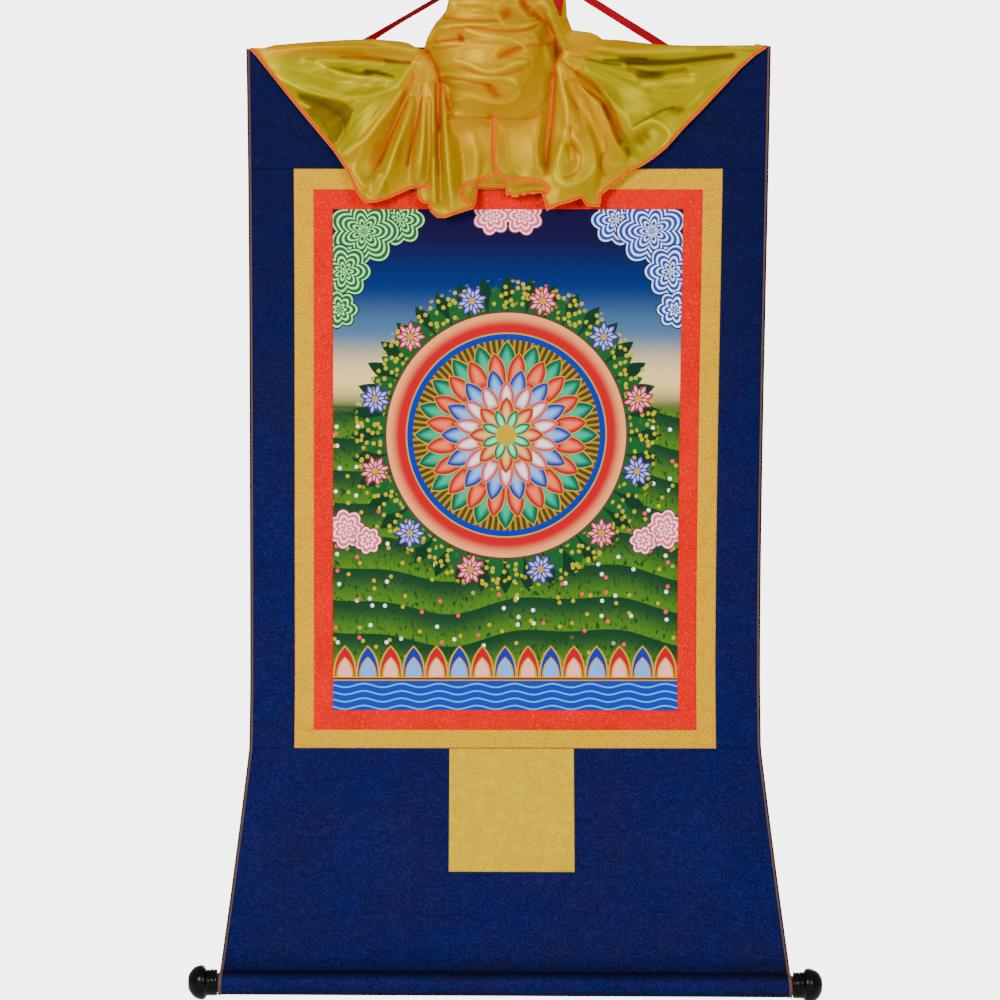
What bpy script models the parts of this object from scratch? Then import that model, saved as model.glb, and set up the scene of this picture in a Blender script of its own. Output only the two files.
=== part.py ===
"""A thangka scroll painting as it hangs: a printed picture in red and gold brocade strips,
pieced into a navy brocade scroll with a top batten, a bottom roller with turned knobs,
a flat hanging ribbon, and a silk veil gathered up in the middle of the top edge.

Sizes are in millimetres and become metres where each mesh is made. The origin is the top of
the hanging ribbon, where it goes over its hook. +Z is up, the front faces -Y, and +X is to the
right as one looks at the picture.

Flat pieces are drawn on the cut cloth: "u" runs sideways from the middle line, and "drop" runs
down from the top edge. hang() takes such a point to where it hangs: the cloth draws in
towards its waist, its side edges curl back, and the top edge and roller lie slightly askew.
"""

import math

import bmesh
import bpy
import numpy as np
from mathutils import Vector
from mathutils.bvhtree import BVHTree
from mathutils.geometry import delaunay_2d_cdt

MM = 0.001

# Gaps and thicknesses
GAP = 0.3
CLOTH = 2.0
SILK = 1.4
PATCH = 1.2

# The scroll as it was cut
TOP_EDGE = 81.0           # below the origin
CLOTH_HALF = 234.3        # half width over the piping
PIPING_WIDTH = 3.5
PIPING_DEPTH = 2.6
FOOT_SEAM = 626.5         # drop of the seam under the gold frame, where the foot flares
FLARE = 0.104             # growth of the half width for each mm below that seam
GOLD_HALF, GOLD_TOP = 192.9, 109.4
RED_HALF, RED_TOP, RED_FOOT = 175.3, 127.8, 610.2
PICTURE_HALF, PICTURE_TOP, PICTURE_FOOT = 157.9, 145.6, 592.6
DOOR_HALF, DOOR_FOOT, DOOR_SHIFT = 56.9, 737.0, 5.9

# How it hangs
MIDDLE_TOP, MIDDLE_WAIST = -5.7, -8.8   # the middle line's x at the top and from the waist down
WAIST_DROP, FOOT_SPAN, DRAW_IN = 560.0, 280.0, 0.0275
CURL_FROM, CURL_DEPTH = 190.0, 6.0
CURL_TOP, CURL_FOOT = 20.0, 810.0
ASKEW = ((0.0, 0.0057), (110.0, 0.0), (626.0, -0.001), (835.0, -0.005))   # drop, rise per mm of u

# Depths: the ribbon and the batten's middle lie at y = 0
HEM_RADIUS = 4.3
FACE_Y = -HEM_RADIUS
BACK_Y = FACE_Y + CLOTH
BATTEN_RADIUS = 1.8
BATTEN_HIGH, BATTEN_LOW = 4.3, 16.3     # drops of the centres of its rounded edges

# Roller
SLEEVE_RADIUS = 11.0
ROD_RADIUS = 8.5
ROLLER_DROP = 836.2
ROLLER_Y = BACK_Y - SLEEVE_RADIUS
SLEEVE_FACETS = 20
KNOB_START = 256.7
KNOB_PROFILE = (   # distance from the knob's inner face, radius
    (0.0, 11.2), (0.5, 11.8), (9.0, 11.8), (9.8, 12.6), (11.0, 14.6), (12.2, 15.3), (14.2, 15.5),
    (17.0, 15.0), (20.0, 13.6), (22.5, 11.4), (24.5, 8.6), (25.6, 6.2), (26.0, 4.4), (26.0, 0.0),
)

# Hanging ribbon: x, y, z along its middle, and its turn about its run, 0 when it lies flat
RIBBON_WIDTH, RIBBON_DEPTH = 7.5, 1.0
RIBBON_ROUTE = (
    (-154.0, 5.2, -88.5, 0), (-143.0, 5.2, -82.0, 8), (-131.0, 5.0, -75.0, 40),
    (-102.0, 4.0, -57.5, 62), (-74.0, 2.9, -41.2, 62), (-38.0, 1.5, -19.9, 72),
    (-16.0, 0.4, -7.0, 84), (-7.7, 0.0, -2.1, 90), (0.0, 0.0, 0.0, 90), (7.7, 0.0, -2.1, 90),
    (16.0, 0.4, -7.5, 78), (38.0, 1.5, -21.2, 42), (70.0, 2.9, -41.2, 20),
    (101.0, 4.0, -60.6, 16), (126.0, 5.0, -76.1, 6), (132.5, 5.2, -80.3, 0),
    (143.0, 5.2, -86.8, 0),
)

# Veil: its outline in order, each row x, z and height in front of the scroll's face
VEIL_OUTLINE = (
    ("left hem", ((-239, -82, 2.0), (-231, -90, 3.6), (-208, -119, 4), (-193, -138, 5),
                  (-178, -156, 5), (-162, -175, 6), (-150, -193, 8), (-144, -207, 11),
                  (-134, -222, 15), (-116, -219, 12), (-101, -212, 9), (-87, -207, 8))),
    ("left turned corner", ((-75, -206, 14), (-73, -214, 12), (-75, -224, 9))),
    ("left column", ((-70, -235, 16), (-65, -236, 19), (-55, -233, 17), (-46, -230, 13),
                     (-36, -227, 8), (-34, -222, 8))),
    ("hem behind the slit", ((-33, -207, 7), (-21, -207, 7), (-9, -207, 8))),
    ("right panel", ((-8, -215, 11), (11, -213, 13), (25, -212, 14))),
    ("right hem", ((28, -229, 17), (39, -224, 20), (59, -217, 13))),
    ("right turned corner", ((63, -225, 9), (76, -225, 9), (77, -213, 12))),
    ("right diagonal", ((104, -192, 9), (112, -189, 8), (124, -181, 6.5), (135, -172, 6),
                        (152, -153, 5), (168, -137, 5), (185, -119, 5), (201, -101, 4),
                        (218, -86, 3.6), (227, -80, 2.0))),
    ("right top edge", ((216, -78, 3), (200, -81, 4), (165, -81, 6), (129, -80, 7),
                        (94, -76, 8), (75, -75, 9), (69, -69, 10), (51, -67, 12))),
    ("bunch right", ((46, -55, 15), (46, -41, 16), (44, -31, 16), (37, -22, 16))),
    ("bunch top", ((26, -15, 16), (9, -11, 16), (-13, -10, 16), (-36, -14, 16),
                   (-50, -22, 16))),
    ("bunch left", ((-58, -33, 16), (-60, -51, 16), (-65, -57, 15), (-71, -64, 14),
                    (-75, -71, 12), (-78, -80, 9), (-81, -86, 7))),
    ("left top edge", ((-87, -84, 7), (-103, -77, 8), (-125, -75, 8), (-152, -76, 8),
                       (-201, -79, 6), (-214, -80, 4), (-226, -83, 3))),
)

# Veil: its folds, each row x, z and height in front of the scroll's face along the fold
VEIL_FOLDS = (
    ("left pinch", ((-79, -90, 7), (-75, -98, 8), (-69, -106, 9))),
    ("left top roll", ((-215, -85, 6), (-192, -84, 9), (-152, -82, 12), (-116, -83, 12),
                       (-92, -89, 9))),
    ("under the left roll", ((-192, -90, 6), (-156, -92, 6), (-121, -94, 6), (-92, -97, 6))),
    ("left wing, upper ridge", ((-170, -98, 9), (-130, -99, 10), (-100, -104, 9))),
    ("left wing, hollow", ((-165, -104, 6.5), (-138, -107, 6.5), (-112, -110, 7))),
    ("left wing, lower ridge", ((-205, -104, 6), (-180, -112, 10), (-150, -118, 12),
                                (-122, -119, 12), (-104, -112, 10))),
    ("left wing, three-cornered hollow", ((-193, -122, 4.5), (-172, -134, 4),
                                          (-159, -148, 4), (-161, -165, 4.5))),
    ("left bright ridge", ((-86, -98, 9), (-107, -126, 14), (-125, -149, 15),
                           (-150, -179, 11))),
    ("left trough 1", ((-89, -110, 6), (-98, -134, 6), (-113, -166, 7), (-124, -194, 7))),
    ("left ridge 1", ((-88, -120, 11), (-99, -147, 15), (-113, -182, 18), (-126, -208, 17))),
    ("left trough 2", ((-82, -110, 6), (-89, -150, 8), (-99, -190, 8))),
    ("left ridge 2", ((-78, -112, 11), (-83, -156, 15), (-88, -197, 12))),
    ("left trough 3", ((-75, -118, 8), (-78, -156, 9), (-79, -194, 8))),
    ("column, left ridge", ((-72, -122, 12), (-73, -156, 16), (-71, -215, 18))),
    ("column, trough", ((-68, -112, 7), (-67, -138, 9), (-66, -163, 10), (-67, -206, 13))),
    ("column, right ridge", ((-63, -118, 12), (-61, -147, 17), (-59, -178, 20),
                             (-56, -220, 20))),
    ("column, right trough", ((-55, -134, 11), (-51, -160, 10), (-45, -190, 10))),
    ("left panel, ridge", ((-33, -154, 13), (-34, -180, 13), (-38, -198, 12))),
    ("slit, under edge", ((-21, -152, 11), (-21, -175, 10), (-22, -198, 8))),
    ("slit, over edge", ((-17, -152, 14), (-17, -175, 14), (-14, -190, 13), (-6, -202, 12))),
    ("right panel, hollow", ((-8, -160, 11), (-3, -172, 10), (2, -188, 10))),
    ("right panel, ridge", ((16, -152, 14), (17, -175, 14), (18, -200, 15))),
    ("under the bunch", ((-57, -149, 13), (-23, -149, 14), (0, -150, 14), (14, -146, 13),
                         (25, -141, 11))),
    ("bunch, lower lip", ((-57, -142, 20), (-23, -142, 22), (0, -144, 22), (16, -138, 20),
                          (27, -128, 15))),
    ("right pinch", ((38, -88, 7), (37, -96, 8))),
    ("right trough 1", ((34, -106, 8), (31, -125, 8), (30, -145, 8), (27, -190, 9))),
    ("right ridge 1", ((42, -104, 12), (45, -120, 15), (48, -136, 16), (48, -154, 18))),
    ("teardrop rim", ((42, -166, 18), (39, -187, 18), (47, -202, 19), (58, -194, 19),
                      (62, -178, 18), (56, -162, 17))),
    ("teardrop hollow", ((50, -170, 14), (49, -186, 14))),
    ("right trough 2", ((50, -112, 9), (59, -136, 11), (70, -166, 12), (77, -194, 11))),
    ("right overlap, over", ((50, -104, 12), (75, -131, 16), (87, -154, 16),
                             (99, -180, 12))),
    ("right overlap, under", ((57, -107, 7), (80, -128, 6), (93, -152, 5),
                              (105, -176, 5))),
    ("right top roll", ((55, -84, 10), (76, -83, 12), (129, -84, 12), (190, -85, 7))),
    ("under the right roll", ((52, -91, 8), (76, -95, 7), (102, -97, 6), (138, -97, 6),
                              (190, -92, 5))),
    ("right wing, ridge", ((60, -98, 11), (85, -105, 11), (121, -113, 10), (165, -110, 8),
                           (192, -99, 6))),
    ("right wing, crease", ((104, -155, 5), (121, -144, 5.5), (136, -139, 6))),
    ("right wing, bulge", ((112, -135, 9), (132, -128, 9), (156, -128, 7))),
    ("swag 1", ((-61, -106, 20), (-37, -112, 30), (-7, -113, 32), (4, -121, 30),
                (-2, -130, 27), (-21, -134, 26), (-48, -124, 24))),
    ("swag 1, hollow", ((-34, -118, 23), (-20, -122, 23), (-9, -124, 24))),
    ("swag 2", ((-54, -97, 24), (-26, -104, 34), (-7, -101, 35), (13, -93, 29),
                (28, -86, 19))),
    ("swags 2 and 3, hollow", ((-58, -89, 20), (-25, -93, 29), (3, -88, 29))),
    ("swag 3", ((-64, -80, 18), (-48, -78, 26), (-21, -73, 36), (0, -78, 37),
                (14, -87, 30))),
    ("swag 4", ((-69, -70, 20), (-54, -65, 31), (-7, -66, 37), (24, -61, 31))),
    ("swag 5", ((-54, -52, 24), (-36, -47, 33), (-17, -46, 34))),
    ("top hollow", ((-14, -52, 27), (-4, -54, 25), (5, -58, 27))),
    ("riser", ((14, -40, 34), (27, -62, 30), (38, -80, 14))),
    ("top ridge", ((-38, -26, 28), (-10, -22, 30), (15, -26, 30), (33, -36, 27))),
)
FOLD_STEP = 6.0           # spacing of the veil's points along its folds and outline
FILL_STEP = 11.0          # spacing of its points between them
NEAREST = 2.6             # no two of its points lie nearer than this
BUNCH_MIDDLE, BUNCH_SIZE = (-18.0, -72.0), (66.0, 76.0)   # the gathered lump of silk
BUNCH_BACK = 4.0          # height of the lump's back
BUNCH_RIM = 16.0          # width over which its back rounds into its rim

# Red ribbon end tucked into the bunch: z, middle x, width
TAIL_ROWS = ((-28.0, 33.5, 7.5), (-34.0, 36.5, 8.2), (-41.0, 38.5, 8.0), (-46.0, 39.4, 6.0),
             (-51.0, 40.0, 3.4), (-55.0, 40.3, 1.6))
TAIL_DEPTH, TAIL_GAP = 0.8, 0.7

COLOURS = {   # name: colour, roughness
    "navy brocade": ((0.008, 0.018, 0.09), 0.7),
    "gold brocade": ((0.80, 0.46, 0.09), 0.6),
    "red brocade": ((0.85, 0.05, 0.015), 0.6),
    "picture": ((0.03, 0.14, 0.12), 0.5),
    "piping": ((0.16, 0.07, 0.045), 0.6),
    "wood": ((0.10, 0.05, 0.03), 0.5),
    "lacquer": ((0.005, 0.005, 0.006), 0.2),
    "red ribbon": ((0.45, 0.004, 0.006), 0.4),
    "yellow silk": ((0.80, 0.42, 0.02), 0.35),
}


# ---- how the flat cloth hangs ----

def smooth(t):
    """A soft step from 0 to 1."""
    t = min(max(t, 0.0), 1.0)
    return t * t * (3 - 2 * t)


def middle_x(drop):
    """x of the scroll's middle line."""
    return MIDDLE_TOP + (MIDDLE_WAIST - MIDDLE_TOP) * smooth(drop / WAIST_DROP)


def drawn_in(drop):
    """How much narrower than its cut the cloth hangs."""
    span = WAIST_DROP if drop < WAIST_DROP else FOOT_SPAN
    return 1 - DRAW_IN * (1 - min(abs(drop - WAIST_DROP) / span, 1) ** 1.5)


def askew(drop):
    """Rise of a level row for each mm to the right."""
    return float(np.interp(drop, [row[0] for row in ASKEW], [row[1] for row in ASKEW]))


def curl(u, drop):
    """How far the side edges curl back."""
    along = min(max((drop - CURL_TOP) / (CURL_FOOT - CURL_TOP), 0), 1)
    across = max(abs(u) - CURL_FROM, 0) / (CLOTH_HALF - CURL_FROM)
    return CURL_DEPTH * math.sin(math.pi * along) * across ** 2


def flare(drop):
    """Growth of the half width between the foot's seam and the roller."""
    return FLARE * min(max(drop - FOOT_SEAM, 0), ROLLER_DROP - FOOT_SEAM)


def hang(u, y, drop):
    """A point of the cut cloth, where it hangs."""
    x = middle_x(drop) + u * drawn_in(drop)
    return Vector((x, y + curl(u, drop), -TOP_EDGE - drop + askew(drop) * u))


# ---- making meshes ----

def material(name):
    """The Principled material of one of the COLOURS."""
    found = bpy.data.materials.get(name)
    if found:
        return found
    made = bpy.data.materials.new(name)
    made.use_nodes = True
    shader = made.node_tree.nodes["Principled BSDF"]
    colour, roughness = COLOURS[name]
    shader.inputs["Base Color"].default_value = (*colour, 1)
    shader.inputs["Roughness"].default_value = roughness
    shader.inputs["Metallic"].default_value = 0.0
    return made


def add_solid(name, points, faces, colour, flat_under=35):
    """A closed mesh object from points in mm, with its faces turned outwards."""
    mesh = bpy.data.meshes.new(name)
    mesh.from_pydata([Vector(p) * MM for p in points], [], faces)
    work = bmesh.new()
    work.from_mesh(mesh)
    bmesh.ops.recalc_face_normals(work, faces=work.faces)
    if work.calc_volume(signed=True) < 0:
        bmesh.ops.reverse_faces(work, faces=work.faces)
    bmesh.ops.triangulate(work, faces=[f for f in work.faces if len(f.verts) > 3])
    work.to_mesh(mesh)
    work.free()
    mesh.shade_smooth()
    mesh.set_sharp_from_angle(angle=math.radians(flat_under))
    solid = bpy.data.objects.new(name, mesh)
    mesh.materials.append(material(colour))
    bpy.context.scene.collection.objects.link(solid)
    solid.parent = bpy.data.objects["scroll"]
    return solid


def from_cells(name, points, cells, edge, stations, colour, place=hang):
    """A solid whose section is a set of cells in (y, drop), carried across the cloth.

    edge(drop) gives the two u values between which the stations, from 0 to 1, lie.
    """
    across = len(points)
    placed = []
    for share in stations:
        for y, drop in points:
            low, high = edge(drop)
            placed.append(place(low + (high - low) * share, y, drop))
    sides = {}
    for cell in cells:
        for a, b in zip(cell, cell[1:] + cell[:1]):
            sides.setdefault(frozenset((a, b)), []).append((a, b))
    faces = []
    for uses in sides.values():
        if len(uses) == 1:
            a, b = uses[0]
            for k in range(len(stations) - 1):
                low, high = k * across, (k + 1) * across
                faces.append((low + a, low + b, high + b, high + a))
    last = (len(stations) - 1) * across
    faces += [tuple(reversed(cell)) for cell in cells]
    faces += [tuple(last + i for i in cell) for cell in cells]
    return add_solid(name, placed, faces, colour)


def sheet_section(drops, front=FACE_Y, back=BACK_Y):
    """Points and cells of a plain sheet's section through the given drops."""
    points = [(y, drop) for drop in drops for y in (front, back)]
    cells = [(2 * i, 2 * i + 2, 2 * i + 3, 2 * i + 1) for i in range(len(drops) - 1)]
    return points, cells


def rows(top, foot, count):
    """count + 1 even drops from top to foot, half a gap inside each."""
    return list(np.linspace(top + GAP / 2, foot - GAP / 2, count + 1))


def evenly(count):
    return [k / count for k in range(count + 1)]


EDGED = [0, 0.03, 0.06, 0.09, 0.3, 0.5, 0.7, 0.91, 0.94, 0.97, 1]   # close at the curled edges
NAVY_HALF = CLOTH_HALF - PIPING_WIDTH - GAP


def whole_width(drop):
    half = NAVY_HALF + flare(drop)
    return -half, half


# ---- the scroll ----

def add_heading():
    """Navy heading: its upper end is turned back over the batten as a sleeve."""
    centres = [(BATTEN_HIGH, a) for a in (180, 135, 90, 45, 0)]
    centres += [(BATTEN_LOW, a) for a in (0, -45, -90)]
    seam_angle = -math.degrees(math.acos(BACK_Y / HEM_RADIUS))
    centres += [(BATTEN_LOW, seam_angle), (BATTEN_LOW, -180)]

    def ring(radius):
        turned = [(c, math.radians(a)) for c, a in centres]
        return [(radius * math.cos(a), c - radius * math.sin(a)) for c, a in turned]

    count = len(centres)
    points = ring(HEM_RADIUS) + ring(HEM_RADIUS - CLOTH)
    cells = []
    for k in range(count):
        n = (k + 1) % count
        cells.append((k, n, count + n, count + k))
    seam_back, seam_front = count - 2, count - 1
    drops = list(np.linspace(40, GOLD_TOP - GAP / 2, 4))
    start = len(points)
    points += [(y, drop) for drop in drops for y in (FACE_Y, BACK_Y)]
    cells.append((seam_front, start, start + 1, seam_back))
    for i in range(len(drops) - 1):
        a = start + 2 * i
        cells.append((a, a + 2, a + 3, a + 1))
    from_cells("heading_panel", points, cells, whole_width, EDGED, "navy brocade")


def add_batten():
    """Thin wooden batten inside the heading's sleeve."""
    angles = [180, 135, 90, 45, 0]
    turned = [(BATTEN_HIGH, a) for a in angles] + [(BATTEN_LOW, -a) for a in reversed(angles)]
    points = [
        (BATTEN_RADIUS * math.cos(math.radians(a)), c - BATTEN_RADIUS * math.sin(math.radians(a)))
        for c, a in turned
    ]
    cells = [tuple(range(len(points)))]
    from_cells("top_batten", points, cells, whole_width, evenly(4), "wood")


def add_foot():
    """Navy foot: it flares, goes round the roller from behind and ends in front at a crease."""
    outer, inner = SLEEVE_RADIUS, SLEEVE_RADIUS - CLOTH
    crease = math.degrees(math.asin(math.sqrt(outer**2 - inner**2) / outer))
    angles = [0.0] + list(np.linspace(crease, 360, SLEEVE_FACETS))[:-1]

    def at(radius, angle):
        a = math.radians(angle)
        return ROLLER_Y + radius * math.cos(a), ROLLER_DROP - radius * math.sin(a)

    count = len(angles)
    points = [at(outer, a) for a in angles] + [at(inner, a) for a in angles]
    points.append(at(inner, crease / 2))
    cells = [(0, 1, count + 1, 2 * count, count)]
    for k in range(1, count):
        n = (k + 1) % count
        cells.append((k, n, count + n, count + k))
    drops = [FOOT_SEAM + GAP / 2, 660, 700, 740, 780, 808]
    start = len(points)
    points += [(y, drop) for drop in drops for y in (FACE_Y, BACK_Y)]
    for i in range(len(drops) - 1):
        a = start + 2 * i
        cells.append((a, a + 2, a + 3, a + 1))
    end = start + 2 * (len(drops) - 1)
    cells.append((end, 1, 0, end + 1))
    from_cells("foot_panel", points, cells, whole_width, EDGED, "navy brocade")


def add_flat(name, left, right, top, foot, colour, columns=1, row_count=8):
    """One flat piece between two u values and two drops, with its share of each gap."""
    points, cells = sheet_section(rows(top, foot, row_count))
    from_cells(name, points, cells, lambda drop: (left, right), evenly(columns), colour)


def add_frames():
    """Navy sides, then the gold and red strips butted round the picture."""
    half = GAP / 2
    for side, sign in (("left", -1), ("right", 1)):
        def piece(name, inner, outer, top, foot, colour, columns):
            ends = sorted((sign * inner, sign * outer))
            add_flat(f"{name}_{side}", *ends, top, foot, colour, columns)
        piece("side_panel", GOLD_HALF + half, NAVY_HALF, GOLD_TOP, FOOT_SEAM, "navy brocade", 4)
        piece("gold_strip", RED_HALF + half, GOLD_HALF - half, RED_TOP, RED_FOOT,
              "gold brocade", 1)
        piece("red_strip", PICTURE_HALF + half, RED_HALF - half, PICTURE_TOP, PICTURE_FOOT,
              "red brocade", 1)
    wide = (
        ("gold_strip_top", GOLD_HALF, GOLD_TOP, RED_TOP, "gold brocade"),
        ("gold_strip_bottom", GOLD_HALF, RED_FOOT, FOOT_SEAM, "gold brocade"),
        ("red_strip_top", RED_HALF, RED_TOP, PICTURE_TOP, "red brocade"),
        ("red_strip_bottom", RED_HALF, PICTURE_FOOT, RED_FOOT, "red brocade"),
    )
    for name, reach, top, foot, colour in wide:
        add_flat(name, -reach + half, reach - half, top, foot, colour, 6, 1)
    reach = PICTURE_HALF - half
    add_flat("picture_panel", -reach, reach, PICTURE_TOP, PICTURE_FOOT, "picture", 4)


def add_door():
    """Pale gold patch sewn on the foot, under the frame."""
    front = FACE_Y - GAP - PATCH
    points, cells = sheet_section(rows(FOOT_SEAM, DOOR_FOOT, 3), front, front + PATCH)
    ends = (DOOR_SHIFT - DOOR_HALF, DOOR_SHIFT + DOOR_HALF)
    from_cells("door_patch", points, cells, lambda drop: ends, evenly(2), "gold brocade")


def add_piping(side, sign):
    """Brown piping down one side edge and round the end of the roller's sleeve."""
    centre_y = FACE_Y + CLOTH / 2
    path = [(centre_y, drop, 0.0) for drop in np.linspace(1, 780, 15)]
    path.append((centre_y, 812, 0.0))
    turn = ROD_RADIUS + 0.4 + PIPING_DEPTH / 2
    for angle in range(0, -316, -15):
        a = math.radians(angle)
        path.append((ROLLER_Y + turn * math.cos(a), ROLLER_DROP - turn * math.sin(a), a))
    placed = []
    for y, drop, a in path:
        inner = NAVY_HALF + GAP + flare(drop)
        for u in (inner, inner + PIPING_WIDTH):
            for out in (-PIPING_DEPTH / 2, PIPING_DEPTH / 2):
                where = hang(sign * u, y + out * math.cos(a), drop - out * math.sin(a))
                placed.append(where)
    ring = (0, 1, 3, 2)
    faces = [ring, tuple(4 * (len(path) - 1) + i for i in ring)]
    for k in range(len(path) - 1):
        for i, j in zip(ring, ring[1:] + ring[:1]):
            faces.append((4 * k + i, 4 * k + j, 4 * k + 4 + j, 4 * k + 4 + i))
    add_solid(f"piping_{side}", placed, faces, "piping")


def add_turned(name, profile, start, sign, colour, facets=32):
    """A piece turned about the roller's axis, from profile rows of distance and radius."""
    placed, rings = [], []
    for distance, radius in profile:
        u = sign * (start + distance)
        if radius == 0:
            rings.append([len(placed)])
            placed.append(hang(u, ROLLER_Y, ROLLER_DROP))
            continue
        rings.append(list(range(len(placed), len(placed) + facets)))
        for k in range(facets):
            a = 2 * math.pi * k / facets
            up = Vector((0, radius * math.cos(a), radius * math.sin(a)))
            placed.append(hang(u, ROLLER_Y, ROLLER_DROP) + up)
    faces = []
    for near, far in zip(rings, rings[1:]):
        for k in range(facets):
            n = (k + 1) % facets
            if len(far) == 1:
                faces.append((near[k], near[n], far[0]))
            else:
                faces.append((near[k], near[n], far[n], far[k]))
    for ends in (rings[0], rings[-1]):
        if len(ends) > 1:
            faces.append(tuple(ends))
    add_solid(name, placed, faces, colour)


def add_roller():
    """Rod through the sleeve, and a knob against each of its ends."""
    reach = KNOB_START - GAP
    profile = [(2 * reach * share, ROD_RADIUS) for share in evenly(4)]
    add_turned("roller_rod", profile, -reach, 1, "wood", 24)
    for side, sign in (("left", -1), ("right", 1)):
        add_turned(f"knob_{side}", KNOB_PROFILE, KNOB_START, sign, "lacquer")


# ---- ribbon and veil ----

def spline(points, step):
    """Points about step apart on a smooth curve through rows of numbers."""
    ends = np.array(points, float)
    padded = np.vstack([2 * ends[0] - ends[1], ends, 2 * ends[-1] - ends[-2]])
    line = [ends[0]]
    for a, b, c, d in zip(padded, padded[1:], padded[2:], padded[3:]):
        count = max(1, round(float(np.linalg.norm((c - b)[:2])) / step))
        for k in range(1, count + 1):
            t = k / count
            line.append(0.5 * (2 * b + (c - a) * t + (2 * a - 5 * b + 4 * c - d) * t**2
                               + (3 * b - a - 3 * c + d) * t**3))
    return line


def add_ribbon():
    """Flat ribbon from the batten's sleeve over the hook and back to the sleeve."""
    route = spline(RIBBON_ROUTE, 12)
    line = [Vector(row[:3]) for row in route]
    turns = [math.radians(row[3]) for row in route]
    placed = []
    for k, (here, turn) in enumerate(zip(line, turns)):
        run = (line[min(k + 1, len(line) - 1)] - line[max(k - 1, 0)]).normalized()
        across = run.cross(Vector((0, 1, 0))).normalized()
        through = run.cross(across)
        wide = (across * math.cos(turn) + through * math.sin(turn)) * RIBBON_WIDTH / 2
        deep = run.cross(wide).normalized() * RIBBON_DEPTH / 2
        placed += [here - wide - deep, here + wide - deep, here + wide + deep,
                   here - wide + deep]
    faces = [(0, 1, 2, 3), tuple(4 * (len(line) - 1) + i for i in range(4))]
    for k in range(len(line) - 1):
        for i in range(4):
            j = (i + 1) % 4
            faces.append((4 * k + i, 4 * k + j, 4 * k + 4 + j, 4 * k + 4 + i))
    add_solid("hanging_ribbon", placed, faces, "red ribbon")


def veil_points():
    """The veil's fixed points: its outline, then its folds, and where each part ends."""
    corners = [point for _, part in VEIL_OUTLINE for point in part]
    outline = []
    for a, b in zip(corners, corners[1:] + corners[:1]):
        a, b = np.array(a, float), np.array(b, float)
        count = max(1, round(float(np.hypot(*(b - a)[:2])) / (FOLD_STEP * 1.6)))
        outline += [a + (b - a) * k / count for k in range(count)]
    kept = list(outline)
    for _, fold in VEIL_FOLDS:
        for point in spline(fold, FOLD_STEP):
            if min(np.hypot(*(point - q)[:2]) for q in kept) > NEAREST:
                kept.append(point)
    return outline, kept


def inside(x, z, outline):
    """Whether a point lies inside the outline."""
    found = False
    for a, b in zip(outline, outline[1:] + outline[:1]):
        if (a[1] > z) != (b[1] > z):
            if x < a[0] + (b[0] - a[0]) * (z - a[1]) / (b[1] - a[1]):
                found = not found
    return found


def film_heights(places, fixed, heights, triangles):
    """Heights of the points between the folds, as of a film stretched over them."""
    count = len(places)
    pull = np.zeros((count, count))
    for tri in triangles:
        for a, b in ((tri[0], tri[1]), (tri[1], tri[2]), (tri[2], tri[0])):
            weight = 1 / max(np.hypot(*(places[a] - places[b])), 1.0)
            pull[a, b] = pull[b, a] = weight
    system = np.diag(pull.sum(axis=1)) - pull
    system[:fixed] = 0
    system[:fixed, :fixed] = np.eye(fixed)
    wanted = np.zeros(count)
    wanted[:fixed] = heights
    return np.linalg.solve(system, wanted)


def distance_to(outline, x, z):
    """Shortest distance from a point to the outline."""
    here, best = np.array((x, z)), 1e9
    for a, b in zip(outline, outline[1:] + outline[:1]):
        run = b[:2] - a[:2]
        share = np.clip(np.dot(here - a[:2], run) / np.dot(run, run), 0, 1)
        best = min(best, float(np.hypot(*(a[:2] + run * share - here))))
    return best


def bunch_share(x, z, outline):
    """1 in the gathered lump of silk, 0 where the silk hangs as one sheet."""
    far = math.hypot((x - BUNCH_MIDDLE[0]) / BUNCH_SIZE[0], (z - BUNCH_MIDDLE[1]) / BUNCH_SIZE[1])
    return smooth((1 - far) / 0.25) * smooth(distance_to(outline, x, z) / BUNCH_RIM)


def add_veil():
    """Silk veil: one sheet on its folds, thick only where it is gathered into the bunch."""
    outline, kept = veil_points()
    fixed = len(kept)
    places = [point[:2] for point in kept]
    low, high = np.min(places, axis=0), np.max(places, axis=0)
    row_count = int((high[1] - low[1]) / FILL_STEP)
    for j in range(1, row_count):
        z = low[1] + j * FILL_STEP
        for x in np.arange(low[0] + (j % 2) * FILL_STEP / 2, high[0], FILL_STEP):
            here = np.array((x, z))
            near = min(np.hypot(*(here - q)) for q in places)
            if near > FILL_STEP * 0.55 and inside(x, z, outline):
                places.append(here)
    ring = len(outline)
    rim = [(k, (k + 1) % ring) for k in range(ring)]
    found = delaunay_2d_cdt([Vector(p) for p in places], rim, [], 1, 1e-5)
    triangles = [tuple(face) for face in found[2]]
    heights = film_heights(places, fixed, [point[2] for point in kept], triangles)
    front, back = [], []
    for (x, z), height in zip(places, heights):
        under = height - SILK
        share = bunch_share(x, z, outline)
        under = min(under, under + (BUNCH_BACK - under) * share)
        front.append((x, FACE_Y - height, z))
        back.append((x, FACE_Y - under, z))
    count = len(places)
    faces = triangles + [tuple(count + i for i in reversed(tri)) for tri in triangles]
    faces += [(a, b, count + b, count + a) for a, b in rim]
    add_solid("veil", front + back, faces, "yellow silk", 60)
    return BVHTree.FromPolygons(front, triangles)


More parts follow.
